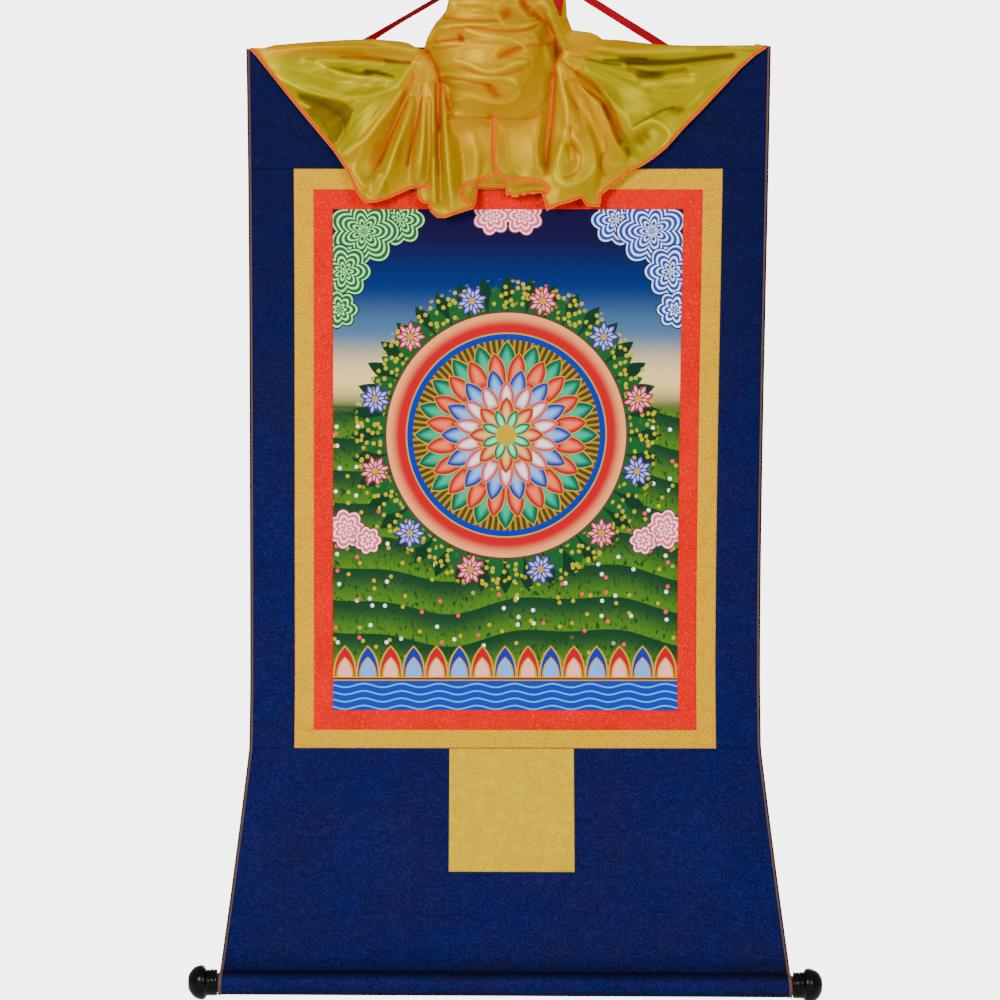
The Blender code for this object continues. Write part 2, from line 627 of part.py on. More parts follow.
def add_tail(silk):
    """End of a red ribbon, lying on the bunch and tucked in at its tip."""
    def silk_y(x, z):
        return silk.ray_cast(Vector((x, -200, z)), Vector((0, 1, 0)))[0].y

    placed = []
    for z, middle, width in TAIL_ROWS:
        for x in (middle - width / 2, middle + width / 2):
            inward = (middle - x) / 2
            near = [silk_y(x + a * inward, z + b) for a in (0, 1, 2) for b in (-2.5, 0, 2.5)]
            back = min(near) - TAIL_GAP
            placed += [Vector((x, back - TAIL_DEPTH, z)), Vector((x, back, z))]
    ring = (0, 1, 3, 2)
    faces = [ring, tuple(4 * (len(TAIL_ROWS) - 1) + i for i in ring)]
    for k in range(len(TAIL_ROWS) - 1):
        for i, j in zip(ring, ring[1:] + ring[:1]):
            faces.append((4 * k + i, 4 * k + j, 4 * k + 4 + j, 4 * k + 4 + i))
    add_solid("red_ribbon_tail", placed, faces, "red ribbon")


def main():
    for old in list(bpy.data.objects):
        bpy.data.objects.remove(old, do_unlink=True)
    scroll = bpy.data.objects.new("scroll", None)
    bpy.context.scene.collection.objects.link(scroll)
    add_heading()
    add_batten()
    add_frames()
    add_door()
    add_foot()
    for side, sign in (("left", -1), ("right", 1)):
        add_piping(side, sign)
    add_roller()
    add_ribbon()
    silk = add_veil()
    add_tail(silk)


main()
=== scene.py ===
"""Looks of the thangka scroll painting: brocade, printed cloth, piping, ribbon and silk veil.

Sizes are in millimetres, in the part's own frame, and become metres where each mesh is made.
"u" runs sideways from the middle line of the cut cloth and "drop" runs down from its top edge.
"""

import math

import bmesh
import bpy
import numpy as np
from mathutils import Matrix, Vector
from mathutils.bvhtree import BVHTree


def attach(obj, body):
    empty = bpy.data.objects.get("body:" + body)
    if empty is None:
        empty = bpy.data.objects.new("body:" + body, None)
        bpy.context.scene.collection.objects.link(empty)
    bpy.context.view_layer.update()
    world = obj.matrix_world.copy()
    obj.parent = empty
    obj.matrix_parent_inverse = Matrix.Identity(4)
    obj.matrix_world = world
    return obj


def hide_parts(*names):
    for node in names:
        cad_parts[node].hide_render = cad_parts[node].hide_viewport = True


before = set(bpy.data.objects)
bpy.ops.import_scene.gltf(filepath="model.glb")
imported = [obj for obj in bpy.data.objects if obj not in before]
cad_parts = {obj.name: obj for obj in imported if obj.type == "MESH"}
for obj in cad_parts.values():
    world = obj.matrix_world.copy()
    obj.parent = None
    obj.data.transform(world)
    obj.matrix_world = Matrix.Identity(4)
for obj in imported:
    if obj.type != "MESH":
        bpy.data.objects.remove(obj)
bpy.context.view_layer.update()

MM = 0.001

# The scroll as it was cut
TOP_EDGE = 81.0
CLOTH_HALF = 234.3
PIPING_WIDTH, PIPING_DEPTH = 3.5, 2.6
PIPING_FOOT = 816.0       # drop where the piping turns round the roller's sleeve
SLEEVE_FROM = 814.0       # the run along the piping from which it has no painted shade on its outer side
SHADED_TOP = (480.0, 100.0)   # the navy cloth darkens from the first drop up to the second
FOOT_SEAM, FLARE = 626.5, 0.104
GOLD_HALF, GOLD_TOP = 192.9, 109.4
RED_HALF, RED_TOP, RED_FOOT = 175.3, 127.8, 610.2
PICTURE_HALF, PICTURE_TOP, PICTURE_FOOT = 157.9, 145.6, 592.6
DOOR_HALF, DOOR_FOOT, DOOR_SHIFT = 56.9, 737.0, 5.9
DOOR_FRONT, DOOR_BACK = 1.45, 0.35   # how far its two faces stand in front of the scroll's
NAVY_HALF = CLOTH_HALF - PIPING_WIDTH + 0.5   # its edge is held inside the piping

# How it hangs
MIDDLE_TOP, MIDDLE_WAIST = -5.7, -8.8
WAIST_DROP, FOOT_SPAN, DRAW_IN = 560.0, 280.0, 0.0275
CURL_FROM, CURL_DEPTH, CURL_TOP, CURL_FOOT = 190.0, 6.0, 20.0, 810.0
ASKEW = ((0.0, 0.0057), (110.0, 0.0), (626.0, -0.001), (835.0, -0.005))   # drop, rise per mm of u

# Depths
FACE_Y = -4.3             # the scroll's face
CLOTH = 1.8               # thickness of the pieced cloth with its lining
TUCK_DEPTH, TUCK_REACH = 0.7, 1.4   # how each cloth rounds back into its seams
CLOTH_CELL, WIDE_CELL = 4.0, 5.0   # spacing of the cloths' meshes
BATTEN_HIGH, BATTEN_LOW = 4.3, 16.3   # drops of the middles of the heading's two bends
BATTEN_TURN = 4.3         # radius of those bends, round the batten
BATTEN_BACK = 20.0        # length of the heading behind the batten
SLEEVE_RADIUS, ROD_RADIUS = 11.0, 8.5
ROLLER_DROP, ROLLER_Y = 836.2, -13.3
FOOT_BEND = 812.0         # drop where the foot leaves its plane for the roller
BEND_Y, BEND_DROP = -3.145, 820.47   # a row of the cloth between its plane and the roller
SLEEVE_TOP = 822.0        # drop where the foot becomes the roller's sleeve
KNOB_START, KNOB_FACETS = 256.7, 72
KNOB_PROFILE = (   # distance from the knob's inner face, radius
    (0.0, 11.2), (0.5, 11.8), (2.2, 11.8), (2.6, 11.4), (3.0, 11.8), (5.6, 11.8), (6.0, 11.4),
    (6.4, 11.8), (9.0, 11.8), (9.8, 12.6), (11.0, 14.6), (11.6, 15.1), (12.0, 15.0),
    (12.6, 15.4), (14.2, 15.5), (17.0, 15.0), (20.0, 13.6), (22.5, 11.4), (24.5, 8.6),
    (25.6, 6.2), (26.0, 4.4), (26.0, 0.0),
)

# Hanging ribbon: x, y, z along its middle, and its turn about its run, 0 when it lies flat
RIBBON_WIDTH, RIBBON_DEPTH, RIBBON_CELL = 7.5, 1.0, 3.0
RIBBON_ROUTE = (
    (-154.0, 5.2, -88.5, 0), (-143.0, 5.2, -82.0, 8), (-131.0, 5.0, -75.0, 40),
    (-102.0, 4.0, -57.5, 62), (-74.0, 2.9, -41.2, 62), (-38.0, 1.5, -19.9, 72),
    (-16.0, 0.4, -7.0, 84), (-7.7, 0.0, -2.1, 90), (0.0, 0.0, 0.0, 90), (7.7, 0.0, -2.1, 90),
    (16.0, 0.4, -7.5, 78), (38.0, 1.5, -21.2, 42), (70.0, 2.9, -41.2, 20),
    (101.0, 4.0, -60.6, 16), (126.0, 5.0, -76.1, 6), (132.5, 5.2, -80.3, 0),
    (143.0, 5.2, -86.8, 0),
)

# Red ribbon end on the gathered silk: z, middle x, width
TAIL_ROWS = ((-28.0, 33.5, 7.5), (-34.0, 36.5, 8.2), (-41.0, 38.5, 8.0), (-46.0, 39.4, 6.0),
             (-51.0, 40.0, 3.4), (-55.0, 40.3, 1.6))
TAIL_DEPTH, TAIL_CELL = 0.7, 0.8   # its thickness, and the spacing of its mesh

# The photograph, on which the veil's points were picked and in whose pixels they are written.
# Those with a row below 0 lie above its upper edge and are a guess
PIXEL = 0.893             # mm at the scroll for each pixel
MIDDLE_COLUMN = 515.0     # where x is 0
ORIGIN_ROW = -44.2        # where z is 0

# Veil: its outline in order, each point's column, row and height in front of the scroll's face
VEIL_OUTLINE = (
    ("left hem", ((247.4, 47.6, 2), (256.3, 56.6, 3.6), (282, 89, 4), (299, 110, 4.5), (316, 130.5, 5),
        (333.6, 151.5, 6), (347, 172, 8), (353.5, 187, 11), (359, 197, 13), (365, 204.4, 14.5),
        (376, 203.5, 14), (385, 201, 12), (394, 197, 10), (402, 193.5, 9), (411, 189.5, 8),
        (417.6, 187.5, 8))),
    ("left flap", ((416.5, 196.5, 12), (421.5, 203.5, 13), (428, 205, 12))),
    ("column foot", ((430, 212, 14), (436.6, 218.6, 17), (444.6, 219.4, 18.5), (454, 216, 18.5),
        (463, 213, 17), (473, 210, 14.5), (476.5, 204, 11))),
    ("back layer", ((478, 188.5, 7), (505, 188.5, 7))),
    ("right panel", ((506, 196.5, 10), (515, 198.3, 11), (529, 195.4, 12), (541, 194, 13))),
    ("right point", ((544, 203, 15), (546, 212.2, 16.5), (558.5, 206.5, 18), (571, 203, 17),
        (581, 199.3, 14))),
    ("right flap", ((586, 207, 10), (600, 208, 9), (601.5, 196, 10))),
    ("right hem", ((616, 183.5, 9), (631, 171, 8.5), (641, 167.3, 7.5), (654, 158.7, 6.5),
        (666.5, 148.5, 6), (685, 127.5, 5), (703.4, 109, 4.5), (722, 89, 4), (740.5, 69, 4), (755, 56, 3),
        (768, 47.5, 2))),
    ("right top edge", ((762, 45.6, 2.5), (757, 44, 3), (750, 46.8, 3), (739, 46.5, 4), (700, 46.4, 6),
        (660, 45.4, 7.5), (640, 43.4, 8), (620, 40.8, 8.5), (602, 40, 9), (597, 36, 9.5), (590, 33.2, 10),
        (572, 31, 12))),
    ("bunch right", ((567, 18, 15), (566, 2, 16), (564, -10, 16), (556.5, -19.6, 16))),
    ("bunch top", ((544, -27.4, 16), (525, -32, 16), (500, -33, 16), (475, -28.5, 16), (459, -19.6, 16))),
    ("bunch left", ((450, -7, 16), (448, 4, 16), (446, 12, 15.5), (441, 19, 15), (436, 24, 15),
        (431, 32, 14), (427, 40, 12.5), (424, 50, 8))),
    ("left top edge", ((418, 49, 7), (408, 43.5, 7.5), (400, 42, 8), (375, 40, 8), (345, 40.7, 8),
        (300, 43.5, 6.5), (290, 44.4, 6), (275, 45.5, 4), (262, 49, 3))),
)
HEMMED = ("left hem", "left flap", "column foot", "back layer", "right panel", "right point",
          "right flap", "right hem")   # the parts of the outline that are overlocked hem

# Veil: its folds, each with the column, row and height of its points as above
VEIL_FOLDS = (
    # left wing
    ("left top roll", ((268, 51, 5), (290, 49.5, 8), (330, 47, 11.5), (370, 46.5, 12.5), (400, 48, 10),
        (412, 51, 8))),
    ("under the left top roll", ((300, 57, 6), (330, 57, 5.5), (355, 58, 4.5), (380, 61.5, 4),
        (415, 63.5, 5))),
    ("left wing, thin curve", ((305, 60, 8), (330, 67, 9.5), (350, 73, 10.5), (372, 77, 11),
        (392, 80, 9.5))),
    ("left wing, lens hollow", ((345, 68, 6.5), (370, 71, 6), (392, 73, 6.5))),
    ("left wing, upper hollow", ((285, 68, 6), (310, 76, 6), (335, 83, 7), (362, 87, 7.5), (385, 87, 8))),
    ("left wing, lower ridge", ((270, 72, 6), (290, 84, 9), (310, 91, 12), (335, 97, 13.5),
        (360, 99.5, 13.5), (385, 95, 12.5), (400, 86, 10))),
    ("left wing, three-cornered hollow", ((296, 97, 4.5), (318, 106, 3.8), (338, 117, 3.2),
        (344, 132, 3.5), (337, 146, 4.2))),
    ("left wing, hollow's middle", ((310, 112, 3.6), (326, 124, 3.2))),
    ("left bright ridge", ((407, 84, 9), (398, 95, 13), (385, 114, 16), (372, 131, 16.5),
        (357, 146, 14.5), (345, 157, 11))),
    ("left lobe, bulge", ((352, 170, 11), (362, 182, 14), (369, 192, 15))),
    ("left pleat 1, hollow", ((409, 96, 7), (399, 118, 6.2), (389, 142, 6.2), (379, 166, 7),
        (371, 180, 9))),
    ("left pleat 1, ridge", ((412, 100, 11), (404, 124, 15), (394, 150, 17.5), (385, 178, 18.5),
        (376, 198, 16))),
    ("left lobe, left crease", ((379, 170, 15.5), (371, 184, 13), (366, 197, 12))),
    ("left lobe, right crease", ((384, 174, 15.5), (390, 187, 12.5), (394, 197, 10.5))),
    ("left pleat 2, hollow", ((417, 88, 8), (418, 108, 6.8), (414, 140, 7.2), (410, 167, 7.8),
        (405, 189, 8.2))),
    ("left pleat 2, ridge", ((424, 100, 10.5), (424, 130, 14.5), (421, 158, 16), (418, 183, 12.5))),
    ("left pleat 3, hollow", ((429, 100, 8), (430, 130, 8.5), (429, 160, 9), (428, 184, 8))),
    # column
    ("column, left ridge", ((433, 86, 9.5), (433.5, 120, 14.5), (433, 160, 16.5), (435, 205, 18))),
    ("column, orange hollow", ((436, 72, 7), (438, 95, 6), (438.5, 125, 6.5), (439.5, 155, 8),
        (441, 182, 10), (441, 206, 13))),
    ("column, right ridge", ((443, 92, 11), (444.5, 115, 16), (446.5, 145, 19.5), (448.5, 172, 21),
        (453, 213, 20))),
    ("column, upper hollow", ((447.5, 84, 9.5), (449, 97, 8), (450.5, 118, 9), (453, 136, 11))),
    ("column, right hollow", ((457, 132, 10), (461, 155, 9), (463, 176, 9.5), (461, 188, 11))),
    ("column, curled foot", ((466, 192, 14), (468, 199, 15.5), (470, 206, 14))),
    ("left panel, ridge", ((474, 130, 12), (476.5, 152, 15), (476, 176, 14.5), (471, 190, 13))),
    ("left panel, soft hollow", ((483, 126, 11), (485, 152, 11.5), (483, 175, 11))),
    # slit and right panel
    ("slit, under edge", ((490.5, 120, 10.5), (490.5, 148, 10), (490.5, 172, 9))),
    ("slit, over edge", ((495.5, 119, 15), (495.5, 148, 16), (496.5, 171, 15.5), (501, 178, 14.5),
        (511, 182, 14), (529, 183, 14.5), (543, 186, 14))),
    ("back layer", ((482, 193, 8), (493, 193, 8), (504, 192, 8))),
    ("back layer, turned hem", ((509, 193, 10.5), (527, 189, 9.5), (540, 190, 10))),
    ("right panel, hollow", ((507, 128, 12), (507, 150, 11), (511, 165, 10.5), (518, 176, 10.5))),
    ("right panel, ridge", ((531, 130, 13.5), (533, 152, 16), (533.5, 172, 15.5))),
    # under the bunch
    ("under the bunch", ((451, 123, 12.5), (470, 125.5, 13), (489, 124.5, 13), (515, 127, 13),
        (531, 120, 12.5), (544, 113, 10.5))),
    ("bunch, lower lip", ((449, 114.5, 14.5), (470, 118, 16.5), (489, 116, 17), (513, 119, 16.5),
        (532, 109.5, 16), (545, 98, 13))),
    # bunch
    ("bunch, left rim", ((427, 42, 12), (432, 30, 16), (438, 24, 18), (445, 14, 19), (449, 3, 19))),
    ("bunch, row 1", ((441, 27.5, 22), (460, 27, 28), (485, 28, 32), (508, 29, 33), (529, 29.5, 31),
        (543, 27, 26))),
    ("bunch, row 2", ((437, 43, 19), (448, 42, 22), (462, 42.5, 25), (482, 42, 31), (505, 44, 34),
        (520, 46, 32.5), (529, 52, 29.5))),
    ("bunch, row 3", ((442, 66, 17.5), (458, 65, 24.5), (480, 71.5, 32), (492, 73.5, 33.5),
        (505, 70.5, 33.5), (520, 64.5, 32), (533, 60, 27))),
    ("bunch, row 4", ((449, 84, 19), (470, 83, 27), (490, 84, 31), (505, 84, 31.5), (518, 86, 29.5))),
    ("bunch, row 5", ((453, 101, 18.5), (478, 101, 24.5), (500, 103, 26.5), (516, 98, 25.5))),
    ("bunch, row 6", ((462, 10, 24), (480, 12, 28), (502, 14, 28.5), (520, 16, 27.5), (534, 11, 25))),
    ("bunch, right side", ((541, 40, 24), (545, 56, 19), (543, 75, 17), (541, 95, 14.5))),
    ("bunch, top", ((470, -18, 27), (488, -20, 29), (515, -20, 29), (538, -12, 26))),
    ("riser, hollow", ((521, 4, 24), (534, 11, 21.5), (545, 24, 18), (551, 37, 15))),
    ("riser, ridge", ((541, -4, 25), (547, 8, 26), (552, 22, 25), (557, 36, 19), (560, 48, 12))),
    ("riser, inner ridge", ((531, 34, 31), (541, 44, 28), (549, 55, 20), (552, 66, 14))),
    ("left knot", ((420, 48, 8), (425, 53, 6.5), (430, 60, 7), (437, 76, 7.5))),
    ("right knot", ((556, 45, 11), (557.5, 53, 7.5), (558.5, 61, 7.5))),
    # right skirt
    ("right hollow 1", ((552.5, 76, 8), (550.5, 95, 7.8), (549, 118, 8), (546, 144, 8.5),
        (545, 168, 9.5))),
    ("right ridge 1", ((562, 74, 12), (565, 90, 15.5), (568.5, 108, 17), (569, 126, 18.5))),
    ("right skirt, left ridge", ((541, 112, 13), (538, 135, 15), (538, 160, 15.5), (541, 178, 14))),
    ("teardrop, rim", ((562, 142, 19), (558.5, 165, 19), (566, 184, 20), (580, 175, 20), (584.5, 156, 19),
        (577, 138, 18))),
    ("teardrop, hollow", ((571, 147, 13.5), (570.5, 165, 13))),
    ("right skirt, point", ((549, 203, 15.5), (556, 198, 17.5), (562, 192, 18))),
    ("right hollow 2", ((568, 82, 9.5), (579, 104, 10), (591, 126, 11), (601, 148, 11.5), (603, 170, 11),
        (600, 190, 10.5))),
    ("right skirt, middle ridge", ((588, 134, 16), (595, 155, 17), (595, 175, 16), (590, 192, 14))),
    ("right overlap, edge", ((570, 71, 12), (584, 87, 14.5), (598, 101.5, 16.5), (606, 116, 17.5),
        (612, 131, 17.5), (618, 145, 16), (626, 157, 12.5))),
    ("right overlap, under", ((577, 75, 7), (592, 87, 6), (605.5, 97.5, 5.2), (614.5, 112, 4.8),
        (620.5, 127, 4.6), (628, 142, 4.8), (635, 153, 5))),
    # right wing
    ("right top roll", ((577, 51, 10), (600, 50, 12), (625, 51, 13.5), (650, 51.5, 13), (690, 52, 9),
        (730, 51, 6.5))),
    ("under the right top roll", ((588, 59, 7), (605, 59, 6), (640, 63.5, 4.5), (680, 65.5, 4.5),
        (715, 61, 4.5), (740, 56, 4))),
    ("right wing, thin curve", ((590, 64.5, 8.5), (615, 67, 9), (660, 69.5, 8.5), (700, 66, 7.5),
        (733, 59.5, 5.5))),
    ("right wing, dark patch", ((638, 75, 5.5), (662, 78, 4.6), (690, 76, 4.8))),
    ("right wing, swath", ((588, 72, 10.5), (611, 82, 12), (631, 97, 11.5), (645, 109, 10))),
    ("right wing, crease", ((630, 135, 4.6), (637.5, 128, 5), (650, 119, 5.5), (667, 110, 5.5))),
    ("right wing, curl", ((644, 113, 9), (655, 120.5, 9), (663, 127, 8.5), (667.5, 140, 6.5))),
    ("right wing, small hollow", ((641, 131.5, 4.4), (652, 130, 4.2))),
    ("right wing, lobe", ((676, 114, 4.4), (687, 113, 4.4))),
    ("right wing, broad", ((655, 91, 9.5), (685, 89, 9), (712, 80, 7.5), (730, 68, 5.5))),
    ("right wing, low", ((680, 103, 7.5), (700, 99, 6.5))),
)

# Veil: hems of upper layers that lie inside its outline
VEIL_HEMS = (
    ("slit", ((494.5, 119), (494.5, 140), (494, 160), (496.5, 171), (500, 176), (510, 180), (530, 181),
        (543, 184), (548, 188), (546, 193))),
    ("panel loop", ((491, 177), (480, 180), (470, 184), (462.5, 189), (461.5, 196), (465, 201),
        (474, 204))),
    ("left flap's end", ((420, 187.5), (431, 186.5))),
    ("back turned hem", ((508, 195), (515, 196.5), (530, 194), (542, 193.5))),
)

# Veil: crisp creases over its folds, crests raised with painted highlight and hollows sunk with painted
# shade, each with its tone (above 0 a crest, below 0 a hollow), half width and the columns and rows of
# its points
VEIL_CREASES = (
    # Bunch, crests
    (0.9, 1.3, ((429, 44), (431, 37), (436, 31), (445, 27.5), (455, 26), (470, 25.5), (485, 26.5),
        (497, 26), (507, 28.5), (515, 28), (526, 27), (536, 24), (541, 22))),
    (1.1, 1.5, ((463, 31), (470, 34), (480, 37), (492, 38.5), (504, 40), (513, 42), (520, 46),
        (527, 52))),
    (1.2, 2, ((454, 57), (455, 62), (463, 64), (472, 67), (480, 72), (490, 74), (500, 72), (508, 68.5),
        (518, 65), (530, 63.5))),
    (0.6, 6, ((458, 56), (470, 55), (482, 57), (492, 60))),
    (0.9, 1.6, ((437, 75), (450, 75.5), (460, 77.5), (475, 80), (490, 80.5), (505, 80.5), (513, 83),
        (519, 87), (521, 90))),
    (0.7, 2.1, ((521, 87), (519, 95), (514, 101), (505, 105), (492, 104), (478, 100), (465, 96.5),
        (452, 92), (443, 86))),
    (0.5, 1.6, ((518, 53), (530, 56), (533, 60), (533, 67), (528, 76), (523, 84), (519, 90))),
    (0.5, 2, ((443, 13), (460, 9), (478, 11), (490, 14), (499, 21))),
    (0.4, 2.5, ((450, 15), (463, 13), (480, 18), (496, 23))),
    (0.8, 1.5, ((507, -1), (499, 6), (496, 12), (499, 19), (503, 25), (509, 28))),
    (0.8, 1.3, ((515, -2), (518, 9), (523, 16), (526, 20), (531, 21), (538, 19))),
    (0.5, 1.3, ((506, 47), (497, 53), (495, 59), (502, 64))),
    (0.8, 1.1, ((541, -4), (551, 11), (556, 24), (560, 36), (563, 46), (565, 55))),
    (0.7, 1.1, ((549, -2), (557, 13), (560, 25), (566, 36), (572, 45))),
    (0.6, 1.1, ((526, 2), (540, 13), (548, 22), (556, 35), (560, 50))),
    (0.9, 3, ((563, -4), (564, 8), (565, 24))),
    (0.8, 4, ((452, -6), (453, 4), (456, 12))),
    (0.45, 3, ((547, 70), (544, 86), (540, 104))),
    (0.4, 7, ((440, 50), (442, 60), (445, 70))),
    (0.6, 1.5, ((499, 88), (510, 90), (519, 91))),
    (0.5, 1.5, ((494, 94), (508, 94), (516, 97))),
    (0.7, 1.1, ((431, 46.5), (445, 46.5), (456, 46), (466, 46))),
    (0.5, 1.1, ((458, 116.5), (478, 116.5), (500, 117))),
    # Bunch, hollows
    (-0.9, 2.3, ((440, 18), (458, 20.5), (472, 21.5), (490, 22), (502, 24))),
    (-1.2, 2, ((446, 30), (465, 29.5), (480, 31.5), (497, 33.5), (510, 33.5), (525, 31.5), (540, 26))),
    (-0.4, 2.5, ((464, 43), (490, 43), (510, 47))),
    (-1.4, 1.7, ((432, 43.5), (447, 43), (456, 42), (466, 42.5))),
    (-1.5, 2, ((457, 34), (460, 38), (465, 44))),
    (-0.7, 1.2, ((430, 49), (445, 49.5), (458, 48), (468, 45))),
    (-1.3, 3, ((493, 62), (503, 57.5), (511, 53.5), (520, 50.5), (528, 52))),
    (-0.8, 2.1, ((457, 68), (470, 73), (480, 76.5), (492, 78), (505, 77), (516, 73.5), (527, 69.5))),
    (-1.2, 1.4, ((442, 77.5), (455, 80), (465, 82.5), (475, 84.5), (493, 88))),
    (-1.3, 4.4, ((482, 85), (493, 93), (499, 98), (508, 97))),
    (-1.2, 6.5, ((504, 8), (506, 15), (510, 22))),
    (-1.3, 3.2, ((520, -3), (525, 8), (531, 15), (539, 21), (545, 26))),
    (-1.1, 2.1, ((425, 48), (430, 58), (435, 66), (439, 76), (441, 86))),
    (-0.6, 2.4, ((440, 80), (441, 96), (441, 112), (440, 135))),
    (-0.8, 1.4, ((443, 78), (446, 95), (449, 108), (452, 119))),
    (-0.7, 1.1, ((446, 119.5), (470, 118.5), (490, 118.5), (510, 120), (530, 119), (547, 112.5))),
    (-1, 2.8, ((556, 50), (555.5, 70), (553.5, 90), (552, 110), (549.5, 135), (547, 160), (546, 180))),
    (-0.9, 2.2, ((522, 49.5), (535, 47.5), (546, 46.5), (555, 43))),
    (-0.5, 5, ((522, 41), (540, 40), (553, 37))),
    (-1.1, 2.1, ((544, 17), (552, 30), (556, 42), (557, 56))),
    (-0.9, 3.2, ((550, 54), (558, 53), (572, 52))),
    (-0.9, 1.1, ((567, 55.5), (580, 58), (592, 61), (605, 64), (623, 66))),
    (0.8, 1.1, ((562, 51), (570, 55), (584, 56.5))),
    (-0.9, 3, ((416, 50), (423, 52), (430, 54))),
    # Right skirt
    (0.8, 2.1, ((559, 58), (560, 85), (563, 100), (566, 115), (566, 130), (563, 143), (558, 157),
        (554, 170), (556, 181), (565, 187), (577, 184), (588, 177), (596, 163))),
    (0.8, 1.7, ((561, 62), (566, 82), (573, 97), (582, 108), (589, 117), (596, 128), (602, 140),
        (605, 156))),
    (0.6, 1.5, ((558, 58), (572, 66), (583, 73), (592, 79), (600, 86), (607, 97), (616, 108),
        (628, 123))),
    (-0.9, 1.7, ((560, 58), (571, 69), (583, 77), (592, 84), (603, 96))),
    (-1.6, 1.5, ((572, 78), (581, 87), (590, 94), (600, 101), (604, 108), (610, 122))),
    (-1.5, 3.4, ((602, 100), (607, 112), (612, 125), (616, 136), (623, 150))),
    (-1.1, 2.2, ((624, 145), (628, 153), (630, 160))),
    (-1, 1.9, ((562, 72), (568, 90), (574, 102), (578, 113))),
    (-0.8, 1.5, ((570, 113), (570, 135), (572, 145), (577, 152), (581, 160), (579, 170), (571, 177),
        (560, 178))),
    (0.7, 3.2, ((559, 144), (566, 158), (573, 170))),
    (-0.7, 1.7, ((603, 134), (606, 150), (601, 158), (600, 166), (606, 180))),
    (0.5, 4, ((604, 166), (616, 166), (628, 162))),
    # Left skirt
    (0.8, 1.6, ((421, 54), (411, 67), (402, 80), (395, 91))),
    (0.9, 2.1, ((404, 88), (393, 106), (384, 118), (375, 129), (366, 140), (352, 148), (340, 158))),
    (0.6, 1.8, ((432, 66), (428, 85), (426, 100), (424, 120), (421, 145), (416, 170))),
    (0.6, 1.7, ((421, 80), (414, 110), (405, 128), (398, 145), (390, 165), (385, 184))),
    (0.5, 1.1, ((410, 97), (402, 116), (396, 130), (391, 148), (383, 168))),
    (-1.2, 1.4, ((423, 85), (420, 108), (416, 128), (411, 150), (407, 169))),
    (-1, 1.4, ((409, 100), (400, 117), (394, 130), (388, 142), (383, 155), (378, 166))),
    (-0.7, 3, ((417, 70), (408, 90), (399, 108))),
    (-0.6, 4, ((404, 134), (400, 150), (397, 170))),
    (-0.6, 5, ((384, 136), (378, 150), (371, 175))),
    (0.6, 1.4, ((363, 145), (358, 160), (352, 173))),
    (-0.6, 3.2, ((437, 76), (437, 110), (436, 140), (436, 180))),
    # Left wing
    (0.8, 2.6, ((370, 41), (390, 46), (405, 50), (418, 54))),
    (0.5, 2.2, ((322, 45), (345, 43), (360, 42), (378, 42))),
    (0.7, 1.7, ((362, 54), (385, 57), (400, 59), (414, 60))),
    (-1, 1.3, ((338, 57.5), (365, 58.5), (380, 60), (395, 61.5))),
    (-1.6, 1.3, ((383, 61), (400, 62.5), (414, 63))),
    (0.7, 2.1, ((314, 59.5), (330, 61), (350, 62), (388, 65))),
    (0.7, 1.4, ((315, 60), (325, 68), (333, 72), (343, 76), (360, 78), (385, 80))),
    (-1, 2.3, ((325, 68), (345, 71), (357, 74), (376, 75.5))),
    (-1.4, 1.9, ((362, 71), (378, 73.5), (388, 76), (398, 78))),
    (0.5, 5, ((330, 84), (350, 85), (365, 84), (385, 82), (404, 72))),
    (0.7, 1.5, ((294, 85), (312, 88), (325, 92), (340, 96), (355, 98), (372, 96), (388, 91), (400, 84))),
    (1.2, 1.7, ((298, 101), (305, 106), (312, 109))),
    (0.5, 1.3, ((354, 110), (351, 125), (347, 136))),
    (0.4, 1.4, ((314, 117), (322, 127), (329, 138))),
    # Right wing
    (0.7, 3, ((594, 46), (615, 52), (630, 52), (650, 50), (700, 49))),
    (0.8, 1.7, ((580, 53), (600, 57), (621, 58))),
    (-0.8, 2.1, ((600, 61), (620, 60.5), (650, 60))),
    (-1.3, 2.4, ((622, 64), (650, 63.5), (670, 63), (690, 61), (710, 58.5), (738, 55.5))),
    (0.4, 1.1, ((620, 65.5), (650, 67.5), (670, 67), (690, 65), (726, 60.5))),
    (-0.8, 2.8, ((622, 68), (648, 73), (665, 72), (692, 69))),
    (-0.8, 3.2, ((632, 77), (648, 77), (668, 75))),
    (0.8, 3.6, ((636, 85), (665, 82), (700, 79))),
    (0.6, 8, ((612, 96), (625, 95), (652, 90))),
    (0.6, 6.5, ((612, 106), (625, 111), (652, 108))),
    (-0.8, 1.2, ((631, 128), (643, 121), (653, 116), (662, 111), (676, 107.5))),
    (-0.7, 3.6, ((664, 113), (675, 111), (688, 109))),
    (-0.7, 6.5, ((628, 145), (640, 139), (658, 132))),
    (0.8, 1.7, ((630, 132), (638, 127), (648, 122.5), (657, 122), (664, 126), (669, 133), (668, 141),
        (662, 151))),
    (0.7, 1.6, ((624, 112), (628, 120), (631, 132))),
    (-0.6, 0.9, ((724, 50), (750, 51), (770, 50))),
    (0.5, 2.2, ((684, 110), (694, 102), (706, 90))),
)

# Veil: painted sheen and shade, flat patches that the satin shows lighter or darker as they face the
# light: tone, softness of the rim and outline
VEIL_SHEEN_AND_SHADE = (
    (-0.85, 3, ((298, 93), (322, 97), (345, 103), (355, 111), (352, 118), (345, 129), (337, 141),
        (331, 146), (322, 131), (310, 116), (301, 106))),
    (0.35, 6, ((212, 66), (240, 64), (300, 66), (318, 62), (330, 76), (380, 88), (340, 94), (300, 86),
        (250, 78))),
)

